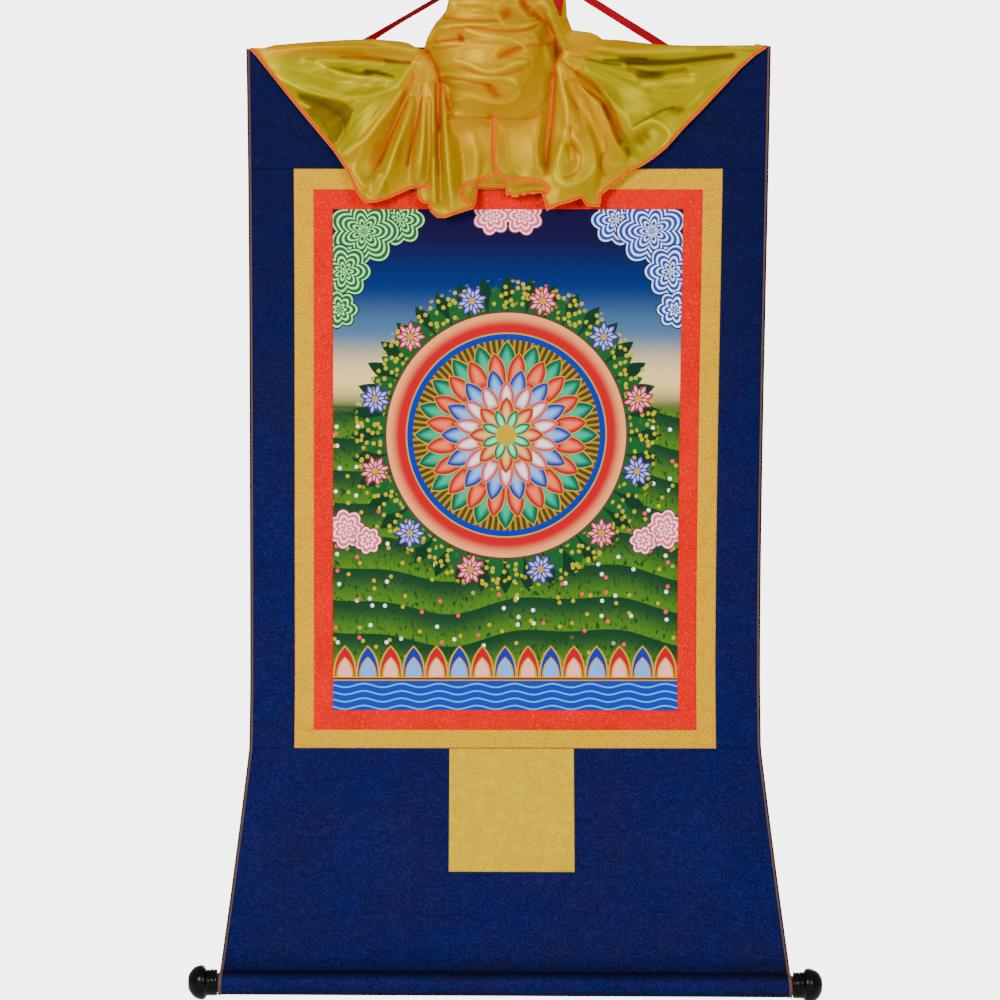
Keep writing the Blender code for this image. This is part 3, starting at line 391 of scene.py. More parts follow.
# Veil: outlines of the single layers, through which the navy cloth shows. Some points lie past
# its edge
VEIL_SINGLE = (
    ((190, 40), (205, 58), (250, 57), (300, 56), (340, 58), (370, 59), (412, 63), (406, 75), (399, 90),
        (388, 104), (370, 128), (350, 150), (338, 166), (320, 160), (240, 80)),
    ((598, 56), (640, 53), (700, 50), (772, 44), (772, 56), (700, 120), (660, 160), (634, 170),
        (627, 158), (618, 142), (629, 130), (612, 104), (600, 88), (586, 74), (578, 64)),
)

PINCHES = ((-82.0, -86.0), (48.0, -88.0))   # where the veil is tied up, x and z
FOLD_GAIN = 0.1           # how much deeper the folds are than the film between them
SAG = 0.5                 # how far the folds lean over downwards, for each mm of their height
VEIL_CELL = 1.25          # spacing of the veil's mesh
FILM_ROUNDS = 160         # how long the film between the folds is left to settle
SILK = 0.6                # thickness of the veil where it hangs as one sheet
BUNCH_MIDDLE, BUNCH_SIZE = (-18.0, -72.0), (66.0, 76.0)   # the gathered lump of silk
BUNCH_BACK, BUNCH_RIM = 4.0, 16.0
CREASE_HEIGHT, WIDEST_CREASE = 0.3, 2.5   # its height for each mm of half width, up to the widest
BROAD_FOLD, FINE_FOLD = 18.0, 9.0   # relief in mm that changes the painted light and shade by 1
SINGLE_SOFT = 9.0         # the rim of a single layer
THIN_FROM = -150.0        # below this height the skirts let some of the navy cloth show through
HEM_WIDTH, HEM_RISE = 3.6, 0.5   # the overlocked band, and how far it stands out
INNER_HEM = 1.6           # how much narrower on each side a hem is that lies inside the outline
HEM_APART = 1000.0        # so much further along the next hem's places start
STITCH = 2.6              # along the hem, from one stitch to the next

# Camera: it looks straight at the scroll, level with the middle of the photograph
EYE_X, EYE_Z = -13.4, -486.0
EYE_DISTANCE = 7000.0
VIEW_WIDTH = 1000 * PIXEL   # width of the photograph where the scroll hangs
SENSOR = 36.0
BACKDROP, SURROUND = 5.0, 0.45   # brightness of the studio to the camera, and to the scroll
LAMPS = (                 # name, place and size in m, power in W
    ("key", (-1.4, -2.5, 0.35), 0.8, 84),
    ("fill", (1.5, -2.5, 0.1), 1.0, 40),
    ("back", (0.6, 2.6, 0.3), 1.2, 45),
)
FLOOR_RADIUS, FLOOR_Z = 1600.0, -1050.0


# ---- materials ----

class Field:
    """A number that varies over a material. Arithmetic on it adds Math nodes."""

    def __init__(self, tree, socket):
        self.tree, self.socket = tree, socket

    def math(self, operation, *others):
        node = self.tree.nodes.new("ShaderNodeMath")
        node.operation = operation
        for entry, value in zip(node.inputs, (self, *others)):
            plug(self.tree, value, entry)
        return Field(self.tree, node.outputs[0])

    def __add__(self, other):
        return self.math("ADD", other)

    def __sub__(self, other):
        return self.math("SUBTRACT", other)

    def __rsub__(self, other):
        return (self * -1) + other

    def __mul__(self, other):
        return self.math("MULTIPLY", other)

    def __truediv__(self, other):
        return self.math("DIVIDE", other)

    def abs(self):
        return self.math("ABSOLUTE")

    def sin(self):
        return self.math("SINE")

    def least(self, other):
        return self.math("MINIMUM", other)

    def most(self, other):
        return self.math("MAXIMUM", other)

    def wrap(self, period):
        """The distance to the nearest whole period, from minus half of one to half of one."""
        return self.math("WRAP", period / 2, -period / 2)

    def step(self, low, high):
        """0 below low and 1 above high, or the other way round where low is the higher."""
        node = self.tree.nodes.new("ShaderNodeMapRange")
        node.interpolation_type = "SMOOTHSTEP"
        plug(self.tree, self, node.inputs["Value"])
        turned = low > high
        node.inputs["From Min"].default_value = high if turned else low
        node.inputs["From Max"].default_value = low if turned else high
        node.inputs["To Min"].default_value = 1 if turned else 0
        node.inputs["To Max"].default_value = 0 if turned else 1
        return Field(self.tree, node.outputs["Result"])

    def line(self, middle, half, soft):
        """1 on a line where the field equals middle, 0 away from it."""
        return (self - middle).abs().step(half + soft, half)


def plug(tree, value, entry):
    """Puts a Field, a socket or a plain value into a node's input."""
    if isinstance(value, Field):
        value = value.socket
    if isinstance(value, bpy.types.NodeSocket):
        tree.links.new(value, entry)
    else:
        entry.default_value = value


def rgb(red, green, blue):
    """Linear colour from the 0 to 255 values of a screen."""
    return (*[(c / 255 / 12.92 if c < 10.3 else ((c / 255 + 0.055) / 1.055) ** 2.4)
              for c in (red, green, blue)], 1.0)


class Paint:
    """One material as it is made: its node tree, its shader and the fields it is painted with."""

    def __init__(self, name, roughness, **fixed):
        self.material = bpy.data.materials.new(name)
        self.material.use_nodes = True
        self.tree = self.material.node_tree
        self.shader = self.tree.nodes["Principled BSDF"]
        self.shader.inputs["Roughness"].default_value = roughness
        for entry, value in fixed.items():
            self.shader.inputs[entry.replace("_", " ")].default_value = value

    def split(self, kind, socket):
        """The three numbers of a vector or a colour, as fields."""
        node = self.tree.nodes.new(kind)
        self.tree.links.new(socket, node.inputs[0])
        return [Field(self.tree, out) for out in node.outputs]

    def attribute(self, name):
        """The three numbers of a mesh attribute, as fields."""
        node = self.tree.nodes.new("ShaderNodeAttribute")
        node.attribute_name = name
        return self.split("ShaderNodeSeparateXYZ", node.outputs["Vector"])

    def place(self):
        """The object's own coordinates in mm, as fields."""
        node = self.tree.nodes.new("ShaderNodeTexCoord")
        return [field * (1 / MM)
                for field in self.split("ShaderNodeSeparateXYZ", node.outputs["Object"])]

    def vector(self, x, y, z=0.0):
        node = self.tree.nodes.new("ShaderNodeCombineXYZ")
        for value, entry in zip((x, y, z), node.inputs):
            plug(self.tree, value, entry)
        return node.outputs[0]

    def noise(self, x, y, size, z=0.0, detail=2.0):
        """Soft noise from 0 to 1, its blots about size mm across. z picks one of many patterns."""
        node = self.tree.nodes.new("ShaderNodeTexNoise")
        plug(self.tree, self.vector(x / size, y / size, z), node.inputs["Vector"])
        node.inputs["Scale"].default_value = 1.0
        node.inputs["Detail"].default_value = detail
        return Field(self.tree, node.outputs[0])

    def cells(self, x, y, size, spread=1.0):
        """The nearest of many points scattered size mm apart.

        Gives the distance to it, x and y from it, and a number from 0 to 1 that it has.
        """
        node = self.tree.nodes.new("ShaderNodeTexVoronoi")
        node.voronoi_dimensions = "2D"
        plug(self.tree, self.vector(x / size, y / size), node.inputs["Vector"])
        node.inputs["Scale"].default_value = 1.0
        node.inputs["Randomness"].default_value = spread
        number, _, _ = self.split("ShaderNodeSeparateColor", node.outputs["Color"])
        cx, cy, _ = self.split("ShaderNodeSeparateXYZ", node.outputs["Position"])
        far = Field(self.tree, node.outputs["Distance"])
        return far * size, x - cx * size, y - cy * size, number

    def blend(self, share, low, high):
        """A colour between two, by a field."""
        node = self.tree.nodes.new("ShaderNodeMix")
        node.data_type = "RGBA"
        plug(self.tree, share, node.inputs[0])
        plug(self.tree, low, node.inputs[6])
        plug(self.tree, high, node.inputs[7])
        return node.outputs[2]

    def layers(self, ground, *coats):
        """A ground colour with coats over it, each a field and a colour."""
        for share, colour in coats:
            ground = self.blend(share, ground, colour)
        return ground

    def colour(self, colour):
        plug(self.tree, colour, self.shader.inputs["Base Color"])

    def roughness(self, field):
        plug(self.tree, field, self.shader.inputs["Roughness"])

    def metal(self, field):
        plug(self.tree, field, self.shader.inputs["Metallic"])

    def relief(self, height, depth):
        """Bump from a field, depth mm deep where the field is 1."""
        node = self.tree.nodes.new("ShaderNodeBump")
        node.inputs["Strength"].default_value = 1.0
        node.inputs["Distance"].default_value = depth * MM
        plug(self.tree, height, node.inputs["Height"])
        self.tree.links.new(node.outputs[0], self.shader.inputs["Normal"])


def polar(x, y):
    """Distance from a centre and angle about it, of two fields."""
    return (x * x + y * y).math("SQRT"), y.math("ARCTAN2", x)


def threads(x, y, pitch):
    """The relief of a plain weave, from 0 to 1."""
    k = math.pi / pitch
    return ((x * k).sin() * (y * k).sin()) * 0.5 + 0.5


def curls(paint, u, drop, size, pitch):
    """Spirals of many sizes and both hands, set close together: 1 on their lines."""
    _, x, y, number = paint.cells(u, drop, size, 0.75)
    far, angle = polar(x, y)
    hand = number.step(0.49, 0.51) * 2 - 1
    line = (far * (2 * math.pi / pitch) + angle * hand + number * 19).sin()
    edge = (number * 0.4 + 0.75) * (size * 0.62)
    return line.step(0.1, 0.85) * (far - edge).step(0.8, 0.0)


def damask(paint, u, drop):
    """The navy cloth's repeat: lobed roundels, key squares and small rings among cloud curls.

    Gives its lines, and where a roundel is.
    """
    wide, tall = 141.0, 163.0
    roundel_u, roundel_drop = 165.0, 717.0
    u = u + (paint.noise(u, drop, 9, 1.3) - 0.5) * 2.4
    drop = drop + (paint.noise(u, drop, 9, 5.9) - 0.5) * 2.4
    x, y = (u - roundel_u).wrap(wide), (drop - roundel_drop).wrap(tall)

    # Roundel: a lobed rim, small curls and a flower in its middle
    far, angle = polar(x, y)
    lobed = far - (angle * 6).sin().abs() * 3.2
    petals = (angle * 8).sin() * 3.0
    found = lobed.line(40, 0.6, 0.9).most(lobed.line(36.5, 0.4, 0.7))
    found = found.most((far + petals).line(15, 0.7, 0.9)).most((far - petals * 0.5).line(9, 0.5, 0.8))
    found = found.most(far.line(3.5, 0.6, 0.8))
    small = curls(paint, u, drop, 11.0, 3.4)
    found = found.most(small * far.step(19, 21) * lobed.step(35, 33.5))

    # Key square between the roundels
    sx = (x + wide / 2).wrap(wide)
    square = sx.abs().most(y.abs()) + (sx.abs() + y.abs()) * 0.12
    key = square.line(12.5, 0.7, 0.7).most(square.line(8.5, 0.5, 0.7)).most(square.line(3.4, 0.6, 0.7))
    key = key.most(sx.abs().line(5.2, 0.4, 0.6) * y.step(-5, -4) * y.step(6, 5))

    # Rings in the rows between, then the ground of curls and banks of cloud
    clear = lobed.step(40, 43) * square.step(13.5, 16)
    for shift_x, reach in ((0.26, 9), (-0.26, 9), (0.0, 10)):
        r, a = polar((x - shift_x * wide).wrap(wide), (y - 0.5 * tall).wrap(tall))
        ring = r.line(reach, 0.5, 0.7).most(r.line(reach * 0.62, 0.4, 0.7)).most(
            (r + (a * 4).sin().abs() * 1.4).line(reach * 0.38, 0.4, 0.6))
        found = found.most(ring)
        clear = clear * r.step(reach + 1, reach + 3)
    big = curls(paint, u * 0.85, drop, 14.0, 3.6)
    bank = (drop + (u / 9).sin() * 3 + (u / 21).sin() * 5).wrap(tall / 4).line(0.0, 0.5, 0.8)
    found = found.most(key * square.step(14, 13.4)).most(big.most(bank) * clear)
    return found, lobed.step(41, 40)


def lining():
    """Plain dark cotton on the back of every pieced cloth."""
    paint = Paint("lining cotton", 0.85)
    x, _, z = paint.place()
    mottle = paint.noise(x, z, 30)
    paint.colour(paint.blend(mottle, rgb(30, 29, 53), rgb(40, 40, 67)))
    paint.relief(threads(x, z, 0.7), 0.06)
    return paint.material


def navy():
    paint = Paint("navy brocade", 0.75, Specular_IOR_Level=0.06)
    u, drop, crease = paint.attribute("cut")
    figure, inside = damask(paint, u, drop)
    mottle = paint.noise(u, drop, 70, 2.2)
    slub = paint.noise(u * 0.25, drop, 2.2, 4.4, 3.0)
    grain = paint.noise(u * 0.7, drop, 1.3, 8.4)
    cloudy = paint.noise(u, drop, 5.0, 3.1, 4.0)
    figure = figure * paint.noise(u, drop, 6.0, 9.7).step(0.3, 0.52)
    paint.colour(paint.layers(
        paint.blend(mottle.step(0.3, 0.7), rgb(12, 14, 64), rgb(0, 11, 75)),
        (inside * 0.2, rgb(21, 23, 78)),
        (cloudy.step(0.5, 0.7) * 0.3, rgb(26, 29, 84)),
        (cloudy.step(0.5, 0.3) * 0.3, rgb(11, 8, 52)),
        (slub.step(0.5, 0.75) * 0.3, rgb(26, 29, 86)),
        (grain.step(0.5, 0.75) * 0.55, rgb(32, 36, 92)),
        (grain.step(0.5, 0.28) * 0.5, rgb(1, 0, 45)),
        (drop.step(*SHADED_TOP) * 0.5, rgb(6, 6, 36)),
        (figure * 0.55, rgb(6, 4, 38)),
        # painted shade: the crease above the roller's sleeve, and bands along the sleeve's top and foot
        (crease * 0.95, rgb(3, 4, 16)),
    ))
    paint.relief(figure * 0.6 + threads(u, drop, 0.6) * 0.3, 0.12)
    return paint.material


def gold():
    paint = Paint("gold brocade", 0.6, Specular_IOR_Level=0.02)
    u, drop, _ = paint.attribute("cut")
    scroll = curls(paint, u, drop, 8.0, 2.4)
    spark = paint.noise(u, drop, 1.3, 9.1)
    blush = paint.noise(u, drop, 26, 6.6)
    paint.colour(paint.layers(
        rgb(199, 140, 0),
        (blush.step(0.5, 0.8) * 0.45, rgb(236, 150, 0)),
        (scroll * 0.6, rgb(232, 194, 0)),
        (spark.step(0.55, 0.8) * 0.75, rgb(245, 227, 0)),
        (spark.step(0.44, 0.24) * 0.55, rgb(184, 118, 0)),
    ))
    paint.relief(scroll * 0.8 + threads(u, drop, 0.6) * 0.3, 0.16)
    return paint.material


def door():
    paint = Paint("door brocade", 0.6, Specular_IOR_Level=0.03)
    u, drop, _ = paint.attribute("cut")
    scroll = curls(paint, u, drop, 11.0, 2.8)
    leaning = paint.noise(u, drop, 23, 4.5).step(0.46, 0.54)
    turn = 2 * math.pi / 2.5
    bars = (((drop + u) * turn).sin().step(0.0, 0.7) * leaning).most(
        ((drop - u) * turn).sin().step(0.0, 0.7) * (1 - leaning))
    spark = paint.noise(u, drop, 1.5, 2.9)
    patch = paint.noise(u, drop, 9, 8.2).step(0.48, 0.66)
    paint.colour(paint.layers(
        rgb(194, 153, 0),
        (scroll * 0.3, rgb(241, 199, 0)),
        (patch * bars * 0.45, rgb(246, 224, 11)),
        (spark.step(0.55, 0.8) * 0.6, rgb(245, 223, 29)),
        (spark.step(0.44, 0.24) * 0.6, rgb(176, 131, 0)),
    ))
    paint.relief(scroll * 0.6 + patch * bars * 0.6, 0.16)
    return paint.material


def red():
    paint = Paint("red brocade", 0.65, Specular_IOR_Level=0.0)
    u, drop, _ = paint.attribute("cut")
    scroll = curls(paint, u, drop, 7.0, 2.2)
    speckle = paint.noise(u, drop, 1.9, 3.3, 3.0)
    broad = paint.noise(u, drop, 40, 1.1)
    paint.colour(paint.layers(
        paint.blend(broad.step(0.35, 0.7), rgb(205, 0, 0), rgb(218, 0, 0)),
        (scroll * 0.45, rgb(244, 24, 0)),
        (speckle.step(0.55, 0.74) * 0.7, rgb(245, 74, 39)),
        (speckle.step(0.46, 0.3) * 0.65, rgb(183, 0, 10)),
    ))
    paint.relief(scroll * 0.5 + threads(u, drop, 0.6) * 0.4, 0.12)
    return paint.material


def petal_depth(far, angle, count, inner, outer, turn):
    """How deep a point lies in a ring of round-ended petals, below 0 between them."""
    middle = (angle * (count / (2 * math.pi)) + turn).wrap(1.0)
    along = (far - inner) / (outer - inner)
    width = (1 - along.abs().math("POWER", 3.0)) * 0.47
    return (width - middle.abs()).least(along)


def flower(paint, ground, x, y, reach, tone, pale, outline):
    """A round flower of two rings of eight petals about a gold heart, laid over a ground."""
    far, angle = polar(x, y)
    for outer, turn in ((1.0, 0.0), (0.7, 0.5)):
        depth = petal_depth(far, angle, 8, reach * 0.12, reach * outer, turn)
        ground = paint.layers(ground, (depth.step(-0.02, 0.02), tone),
                              (depth.step(0.08, 0.4) * (far / (reach * outer)), pale),
                              (depth.line(0.0, 0.025, 0.03), outline))
    return paint.layers(ground, (far.step(reach * 0.22, reach * 0.18), rgb(185, 149, 0)))


def cloud(paint, ground, x, y, reach, tone, pale, outline):
    """A lobed cloud in bands that follow its edge."""
    far, angle = polar(x, y)
    edge = (far - (angle * 3.5).sin().abs() * reach * 0.22) - reach * 0.85
    bands = (edge * (2 * math.pi / 5.2)).sin().step(0.2, -0.9)
    return paint.layers(ground, (edge.step(0.3, 0), tone), (edge.step(-0.6, -1) * bands, pale),
                        (edge.line(0, 0.3, 0.45), outline))


GOLD_INK, WHITE_INK = rgb(193, 150, 0), rgb(245, 243, 241)


def landscape(paint, u, drop, y):
    """Sky, hills with tufts and small flowers, and water."""
    ground = paint.layers(
        rgb(18, 7, 55),
        (y.step(-205, -150), rgb(0, 36, 100)), (y.step(-160, -105), rgb(72, 106, 139)),
        (y.step(-115, -70), rgb(236, 204, 128)), (y.step(-72, -40), rgb(20, 58, 34)),
    )
    hill = ((y + (u / 38).sin() * 7 + (u / 17 + 1.3).sin() * 3) / 29).wrap(1.0)
    tuft = paint.noise(u, drop * 0.6, 3.2, 5.2, 3.0)
    meadow = y.step(-54, -42)
    ground = paint.layers(
        ground,
        (meadow * hill.step(-0.5, 0.5), rgb(72, 117, 25)),
        (meadow * tuft.step(0.52, 0.7).most(hill.line(0.47, 0.04, 0.03)), rgb(16, 57, 29)),
    )
    for size, share, tone in ((15.0, 0.62, WHITE_INK), (19.0, 0.66, rgb(246, 32, 80)),
                              (13.0, 0.7, rgb(175, 159, 0))):
        far, _, _, number = paint.cells(u + size * 9, drop - size * 5, size)
        spots = meadow * number.step(share, share + 0.02) * far.step(2.0, 1.6)
        ground = paint.layers(ground, (spots, tone))
    wave = ((y + (u / 5.5).sin() * 1.6) / 6.5).wrap(1.0)
    return paint.layers(ground, (y.step(196, 197), rgb(24, 51, 159)),
                        (y.step(197, 198) * wave.line(0.0, 0.07, 0.06), rgb(66, 167, 245)))


def petal_band(paint, ground, u, tall):
    """A band of round-ended petals above the water, on a gold and maroon bar."""
    across = (u / 21).wrap(1.0)
    odd = (u / 42).wrap(1.0).abs().step(0.24, 0.26)
    for width, high, first, second in ((0.48, 30, rgb(28, 38, 148), rgb(177, 0, 33)),
                                       (0.34, 22, rgb(99, 160, 246), rgb(246, 173, 157))):
        dome = (tall / high).math("POWER", 3.0) * 0.5 + across.abs() - width
        held = tall.step(1.9, 2.1)
        ground = paint.layers(ground,
                              (dome.step(0.02, 0.0) * held, paint.blend(odd, first, second)),
                              (dome.line(0.0, 0.03, 0.02) * held, GOLD_INK))
    return paint.layers(ground, (tall.line(0.6, 1.6, 0.3), GOLD_INK),
                        (tall.line(0.6, 0.6, 0.3), rgb(102, 17, 35)))


def clouds(paint, ground, u, y):
    """Clouds: green in one upper corner and blue in the other, and pink ones."""
    side, beside = u.step(-0.1, 0.1), u.abs()
    tone = paint.blend(side, rgb(25, 87, 49), rgb(26, 52, 157))
    pale = paint.blend(side, rgb(171, 246, 148), rgb(236, 241, 246))
    for cx, cy, reach in ((98, -214, 22), (130, -204, 30), (148, -168, 23), (152, -134, 16)):
        ground = cloud(paint, ground, beside - cx, y - cy, reach, tone, pale, rgb(13, 33, 41))
    for cx, cy, reach in ((14, -218, 17), (146, 62, 17), (126, 72, 12)):
        ground = cloud(paint, ground, beside - cx, y - cy, reach, rgb(237, 73, 114), WHITE_INK,
                       rgb(102, 29, 53))
    return ground


def garland(paint, ground, u, drop, far, angle):
    """Leaves, yellow blossom and twelve round flowers round the medallion."""
    for outer, turn, tone in ((142, 0.0, rgb(12, 49, 30)), (134, 0.5, rgb(25, 81, 39))):
        leaf = petal_depth(far, angle, 40, 100, outer, turn)
        ground = paint.layers(ground, (leaf.step(-0.02, 0.02), tone))
    spot, _, _, number = paint.cells(u, drop, 5.2)
    blossom = far.step(112, 114) * far.step(140, 136) * number.step(0.45, 0.5)
    ground = paint.layers(ground, (blossom * spot.step(2.1, 1.7), rgb(175, 160, 0)))
    turned = (angle + math.radians(15)).wrap(math.radians(30))
    odd = (angle + math.radians(15)).wrap(math.radians(60)).abs().step(0.25, 0.27)
    return flower(paint, ground, far * turned.math("COSINE") - 124, far * turned.sin(), 14,
                  paint.blend(odd, rgb(190, 0, 54), rgb(22, 42, 177)), WHITE_INK, rgb(64, 9, 40))


def medallion(paint, ground, far, angle):
    """A cream and red halo, a blue ring and gold rays, then rings of petals."""
    disc = paint.layers(
        ground,
        (far.step(110.5, 110), rgb(104, 20, 31)),
        (far.step(109.5, 109), rgb(245, 153, 92)),
        (far.step(108, 97), rgb(185, 0, 24)),
        (far.step(92, 91.3), GOLD_INK),
        (far.step(90.6, 90.2), rgb(0, 38, 159)),
        (far.step(85.6, 85.2), rgb(72, 56, 22)),
        (far.step(85.4, 85) * (angle * 96).sin().step(-0.2, 0.8), rgb(159, 125, 27)),
    )
    rings = (   # petals, inner and outer radius, turn, colour and pale middle
        (20, 50, 84, 0.0, rgb(17, 79, 63), rgb(0, 168, 126)),
        (20, 46, 74, 0.5, rgb(168, 0, 32), rgb(246, 112, 70)),
        (14, 28, 60, 0.0, rgb(30, 32, 142), rgb(120, 171, 245)),
        (14, 24, 48, 0.5, rgb(195, 22, 80), rgb(245, 244, 245)),
        (8, 6, 34, 0.0, rgb(168, 0, 32), rgb(245, 171, 103)),
        (8, 4, 24, 0.5, rgb(17, 79, 63), rgb(73, 246, 169)),
    )
    for count, inner, outer, turn, tone, pale in rings:
        depth = petal_depth(far, angle, count, inner, outer, turn)
        disc = paint.layers(disc, (depth.step(-0.015, 0.015), tone),
                            (depth.step(0.06, 0.36), pale),
                            (depth.line(0.0, 0.016, 0.018), GOLD_INK))
    return paint.layers(disc, (far.step(9.5, 9), rgb(191, 151, 0)))


def picture():
    """A generic design: a flower medallion and garland with clouds over sky, hills and water."""
    paint = Paint("printed picture", 0.5, Specular_IOR_Level=0.04)
    u, drop, _ = paint.attribute("cut")
    y = drop - (PICTURE_TOP + PICTURE_FOOT) / 2       # down from the picture's middle
    far, angle = polar(u, y + 22)
    ground = landscape(paint, u, drop, y)
    ground = petal_band(paint, ground, u, 196 - y)
    ground = clouds(paint, ground, u, y)
    ground = garland(paint, ground, u, drop, far, angle)
    paint.colour(medallion(paint, ground, far, angle))
    paint.relief(threads(u, drop, 0.8), 0.05)
    return paint.material


def piping_satin():
    paint = Paint("piping satin", 0.5, Specular_IOR_Level=0.2)
    across, along, _ = paint.attribute("cut")
    ribs = ((along + across * 0.6) * (2 * math.pi / 1.1)).sin() * 0.5 + 0.5
    worn = paint.noise(across, along, 14, 2.0)
    paint.colour(paint.layers(
        paint.blend(worn, rgb(59, 37, 34), rgb(94, 62, 55)),
        (ribs * 0.3, rgb(117, 81, 71)),
        # painted shade on the piping's outer side, down to the roller's sleeve
        (across.step(-0.1, 0.25) * along.step(SLEEVE_FROM + 8, SLEEVE_FROM), rgb(16, 11, 21)),
        (across.step(-0.6, -0.9), rgb(38, 16, 26)),
    ))
    paint.relief(ribs, 0.08)
    return paint.material


def ribbon_satin():
    paint = Paint("red ribbon", 0.45, Specular_IOR_Level=0.03)
    across, along, _ = paint.attribute("cut")
    ribs = (along * (2 * math.pi / 0.9)).sin() * 0.5 + 0.5
    edge = across.abs().step(0.72, 0.95)
    cloud = paint.noise(across, along, 18, 5.5)
    paint.colour(paint.layers(
        paint.blend(cloud, rgb(136, 2, 23), rgb(161, 0, 22)),
        (ribs * 0.2, rgb(182, 0, 22)),
        (edge * 0.85, rgb(57, 1, 11)),
    ))
    paint.relief(ribs, 0.06)
    return paint.material


def silk():
    """Yellow satin: painted shade, orange, in its hollows and painted highlight, pale, on its ridges,
    olive where one layer lies on the navy cloth, with an overlocked hem."""
    paint = Paint("yellow silk", 0.4, Specular_IOR_Level=0.0)
    fold, single, crest_highlight = paint.attribute("fold")
    hem, along, _ = paint.attribute("hem")
    x, _, z = paint.place()
    weave = paint.noise(x, z, 0.9, 1.7)
    vague = paint.noise(x, z, 22, 6.1)
    # Painted shade and highlight: the fold shading makes both palettes orange and darker in the hollows
    # and paler on the ridges
    double = paint.layers(
        paint.blend(vague, rgb(172, 122, 0), rgb(171, 126, 0)),
        (fold.step(0.05, 0.9), rgb(177, 139, 0)),
        (fold.step(-0.05, -0.7), rgb(170, 100, 0)),
        (fold.step(-0.6, -1.2), rgb(167, 77, 0)),
        (fold.step(-1.2, -1.5), rgb(130, 56, 7)),
    )
    alone = paint.layers(
        paint.blend(vague, rgb(141, 126, 0), rgb(156, 141, 0)),
        (fold.step(0.05, 0.9), rgb(180, 166, 0)),
        (fold.step(-0.05, -0.7), rgb(117, 97, 15)),
        (fold.step(-0.6, -1.4), rgb(84, 61, 9)),
    )
    body = paint.layers(
        double,
        (single, alone),
        # painted highlight along the crests
        (crest_highlight * 0.5, rgb(210, 169, 0)),
        (weave.step(0.5, 0.8) * 0.1, rgb(192, 163, 0)),
    )
    turn = 2 * math.pi / STITCH
    stitch = ((along * turn).sin() * ((hem * 1.4 + along) * turn).sin()).step(-0.1, 0.5)
    band = hem.step(HEM_WIDTH, HEM_WIDTH - 0.4)
    paint.colour(paint.layers(
        body,
        (band * 0.9, rgb(221, 107, 0)),
        (band * stitch * 0.95, rgb(191, 3, 1)),
        (hem.step(0.8, 0.3) * 0.6, rgb(152, 33, 20)),
    ))
    paint.roughness(band * 0.3 + 0.38 + weave * 0.1)
    paint.metal(0.28 - band * 0.28)
    paint.relief(weave * 0.4 + band * stitch * 1.6, 0.12)
    return paint.material


def lacquer():
    paint = Paint("black lacquer", 0.25, Specular_IOR_Level=0.12)
    x, y, z = paint.place()
    smear = paint.noise(x, z, 9, y / 9)
    paint.colour(paint.blend(smear, rgb(4, 4, 4), rgb(10, 9, 9)))
    paint.roughness(smear * 0.16 + 0.12)
    return paint.material


def wood():
    paint = Paint("dark wood", 0.5, Specular_IOR_Level=0.35)
    x, y, z = paint.place()
    grain = paint.noise(x / 14, z + y * 0.4, 1.3, 0.4, 4.0)
    paint.colour(paint.blend(grain.step(0.35, 0.65), rgb(62, 41, 30), rgb(88, 61, 44)))
    paint.relief(grain, 0.15)
    return paint.material


# ---- how the flat cloth hangs ----

def smooth(t):
    """A soft step from 0 to 1."""
    t = np.clip(t, 0, 1)
    return t * t * (3 - 2 * t)


def flare(drop):
    """Growth of the half width between the foot's seam and the roller."""
    return FLARE * np.clip(drop - FOOT_SEAM, 0, ROLLER_DROP - FOOT_SEAM)


def hang(u, y, drop):
    """Points of the cut cloth, where they hang, as rows of x, y and z in mm."""
    u, y, drop = np.broadcast_arrays(np.asarray(u, float), y, drop)
    middle = MIDDLE_TOP + (MIDDLE_WAIST - MIDDLE_TOP) * smooth(drop / WAIST_DROP)
    span = np.where(drop < WAIST_DROP, WAIST_DROP, FOOT_SPAN)
    drawn_in = 1 - DRAW_IN * (1 - np.clip(abs(drop - WAIST_DROP) / span, 0, 1) ** 1.5)
    along = np.clip((drop - CURL_TOP) / (CURL_FOOT - CURL_TOP), 0, 1)
    across = np.clip(abs(u) - CURL_FROM, 0, None) / (CLOTH_HALF - CURL_FROM)
    curl = CURL_DEPTH * np.sin(math.pi * along) * across ** 2
    rise = np.interp(drop, [row[0] for row in ASKEW], [row[1] for row in ASKEW])
    return np.stack((middle + u * drawn_in, y + curl, -TOP_EDGE - drop + rise * u), axis=-1)


def ripple(u, drop):
    """How far the cloth stands out of its plane: broad waves, and puckers along its seams."""
    broad = (np.sin(u / 41 + 0.6) * np.sin(drop / 63 + 1.1) * 0.35
             + np.sin(u / 23 - drop / 87) * 0.2 + np.sin(drop / 31 + u / 140) * 0.12)
    pucker = np.zeros_like(broad)
    for seam in (GOLD_TOP, FOOT_SEAM, ROLLER_DROP - 14):
        near = np.exp(-((drop - seam) / 14.0) ** 2)
        pucker = pucker + near * (np.sin(u / 2.9 + np.sin(u / 17) * 2) * 0.09
                                  + np.sin(u / 7.3 + 0.4) * 0.14)
    still = smooth((drop - 20) / 90)          # flat under the veil
    return broad * still + pucker * smooth((drop - 30) / 60)


# ---- making meshes ----

def add_mesh(name, points, faces, materials, numbers=None, sharp=40, **attributes):
    """A mesh object from points in mm. numbers says which material each face has."""
    mesh = bpy.data.meshes.new(name)
    mesh.from_pydata((np.asarray(points, float) * MM).tolist(), [], [list(f) for f in faces])
    for slot in materials:
        mesh.materials.append(slot)
    if numbers is not None:
        mesh.polygons.foreach_set("material_index", np.asarray(numbers, np.int32))
    for key, rows in attributes.items():
        layer = mesh.attributes.new(key, "FLOAT_VECTOR", "POINT")
        layer.data.foreach_set("vector", np.asarray(rows, np.float32).ravel())
    mesh.shade_smooth()
    mesh.set_sharp_from_angle(angle=math.radians(sharp))
    mesh.update()
    made = bpy.data.objects.new(name, mesh)
    bpy.context.scene.collection.objects.link(made)
    return made


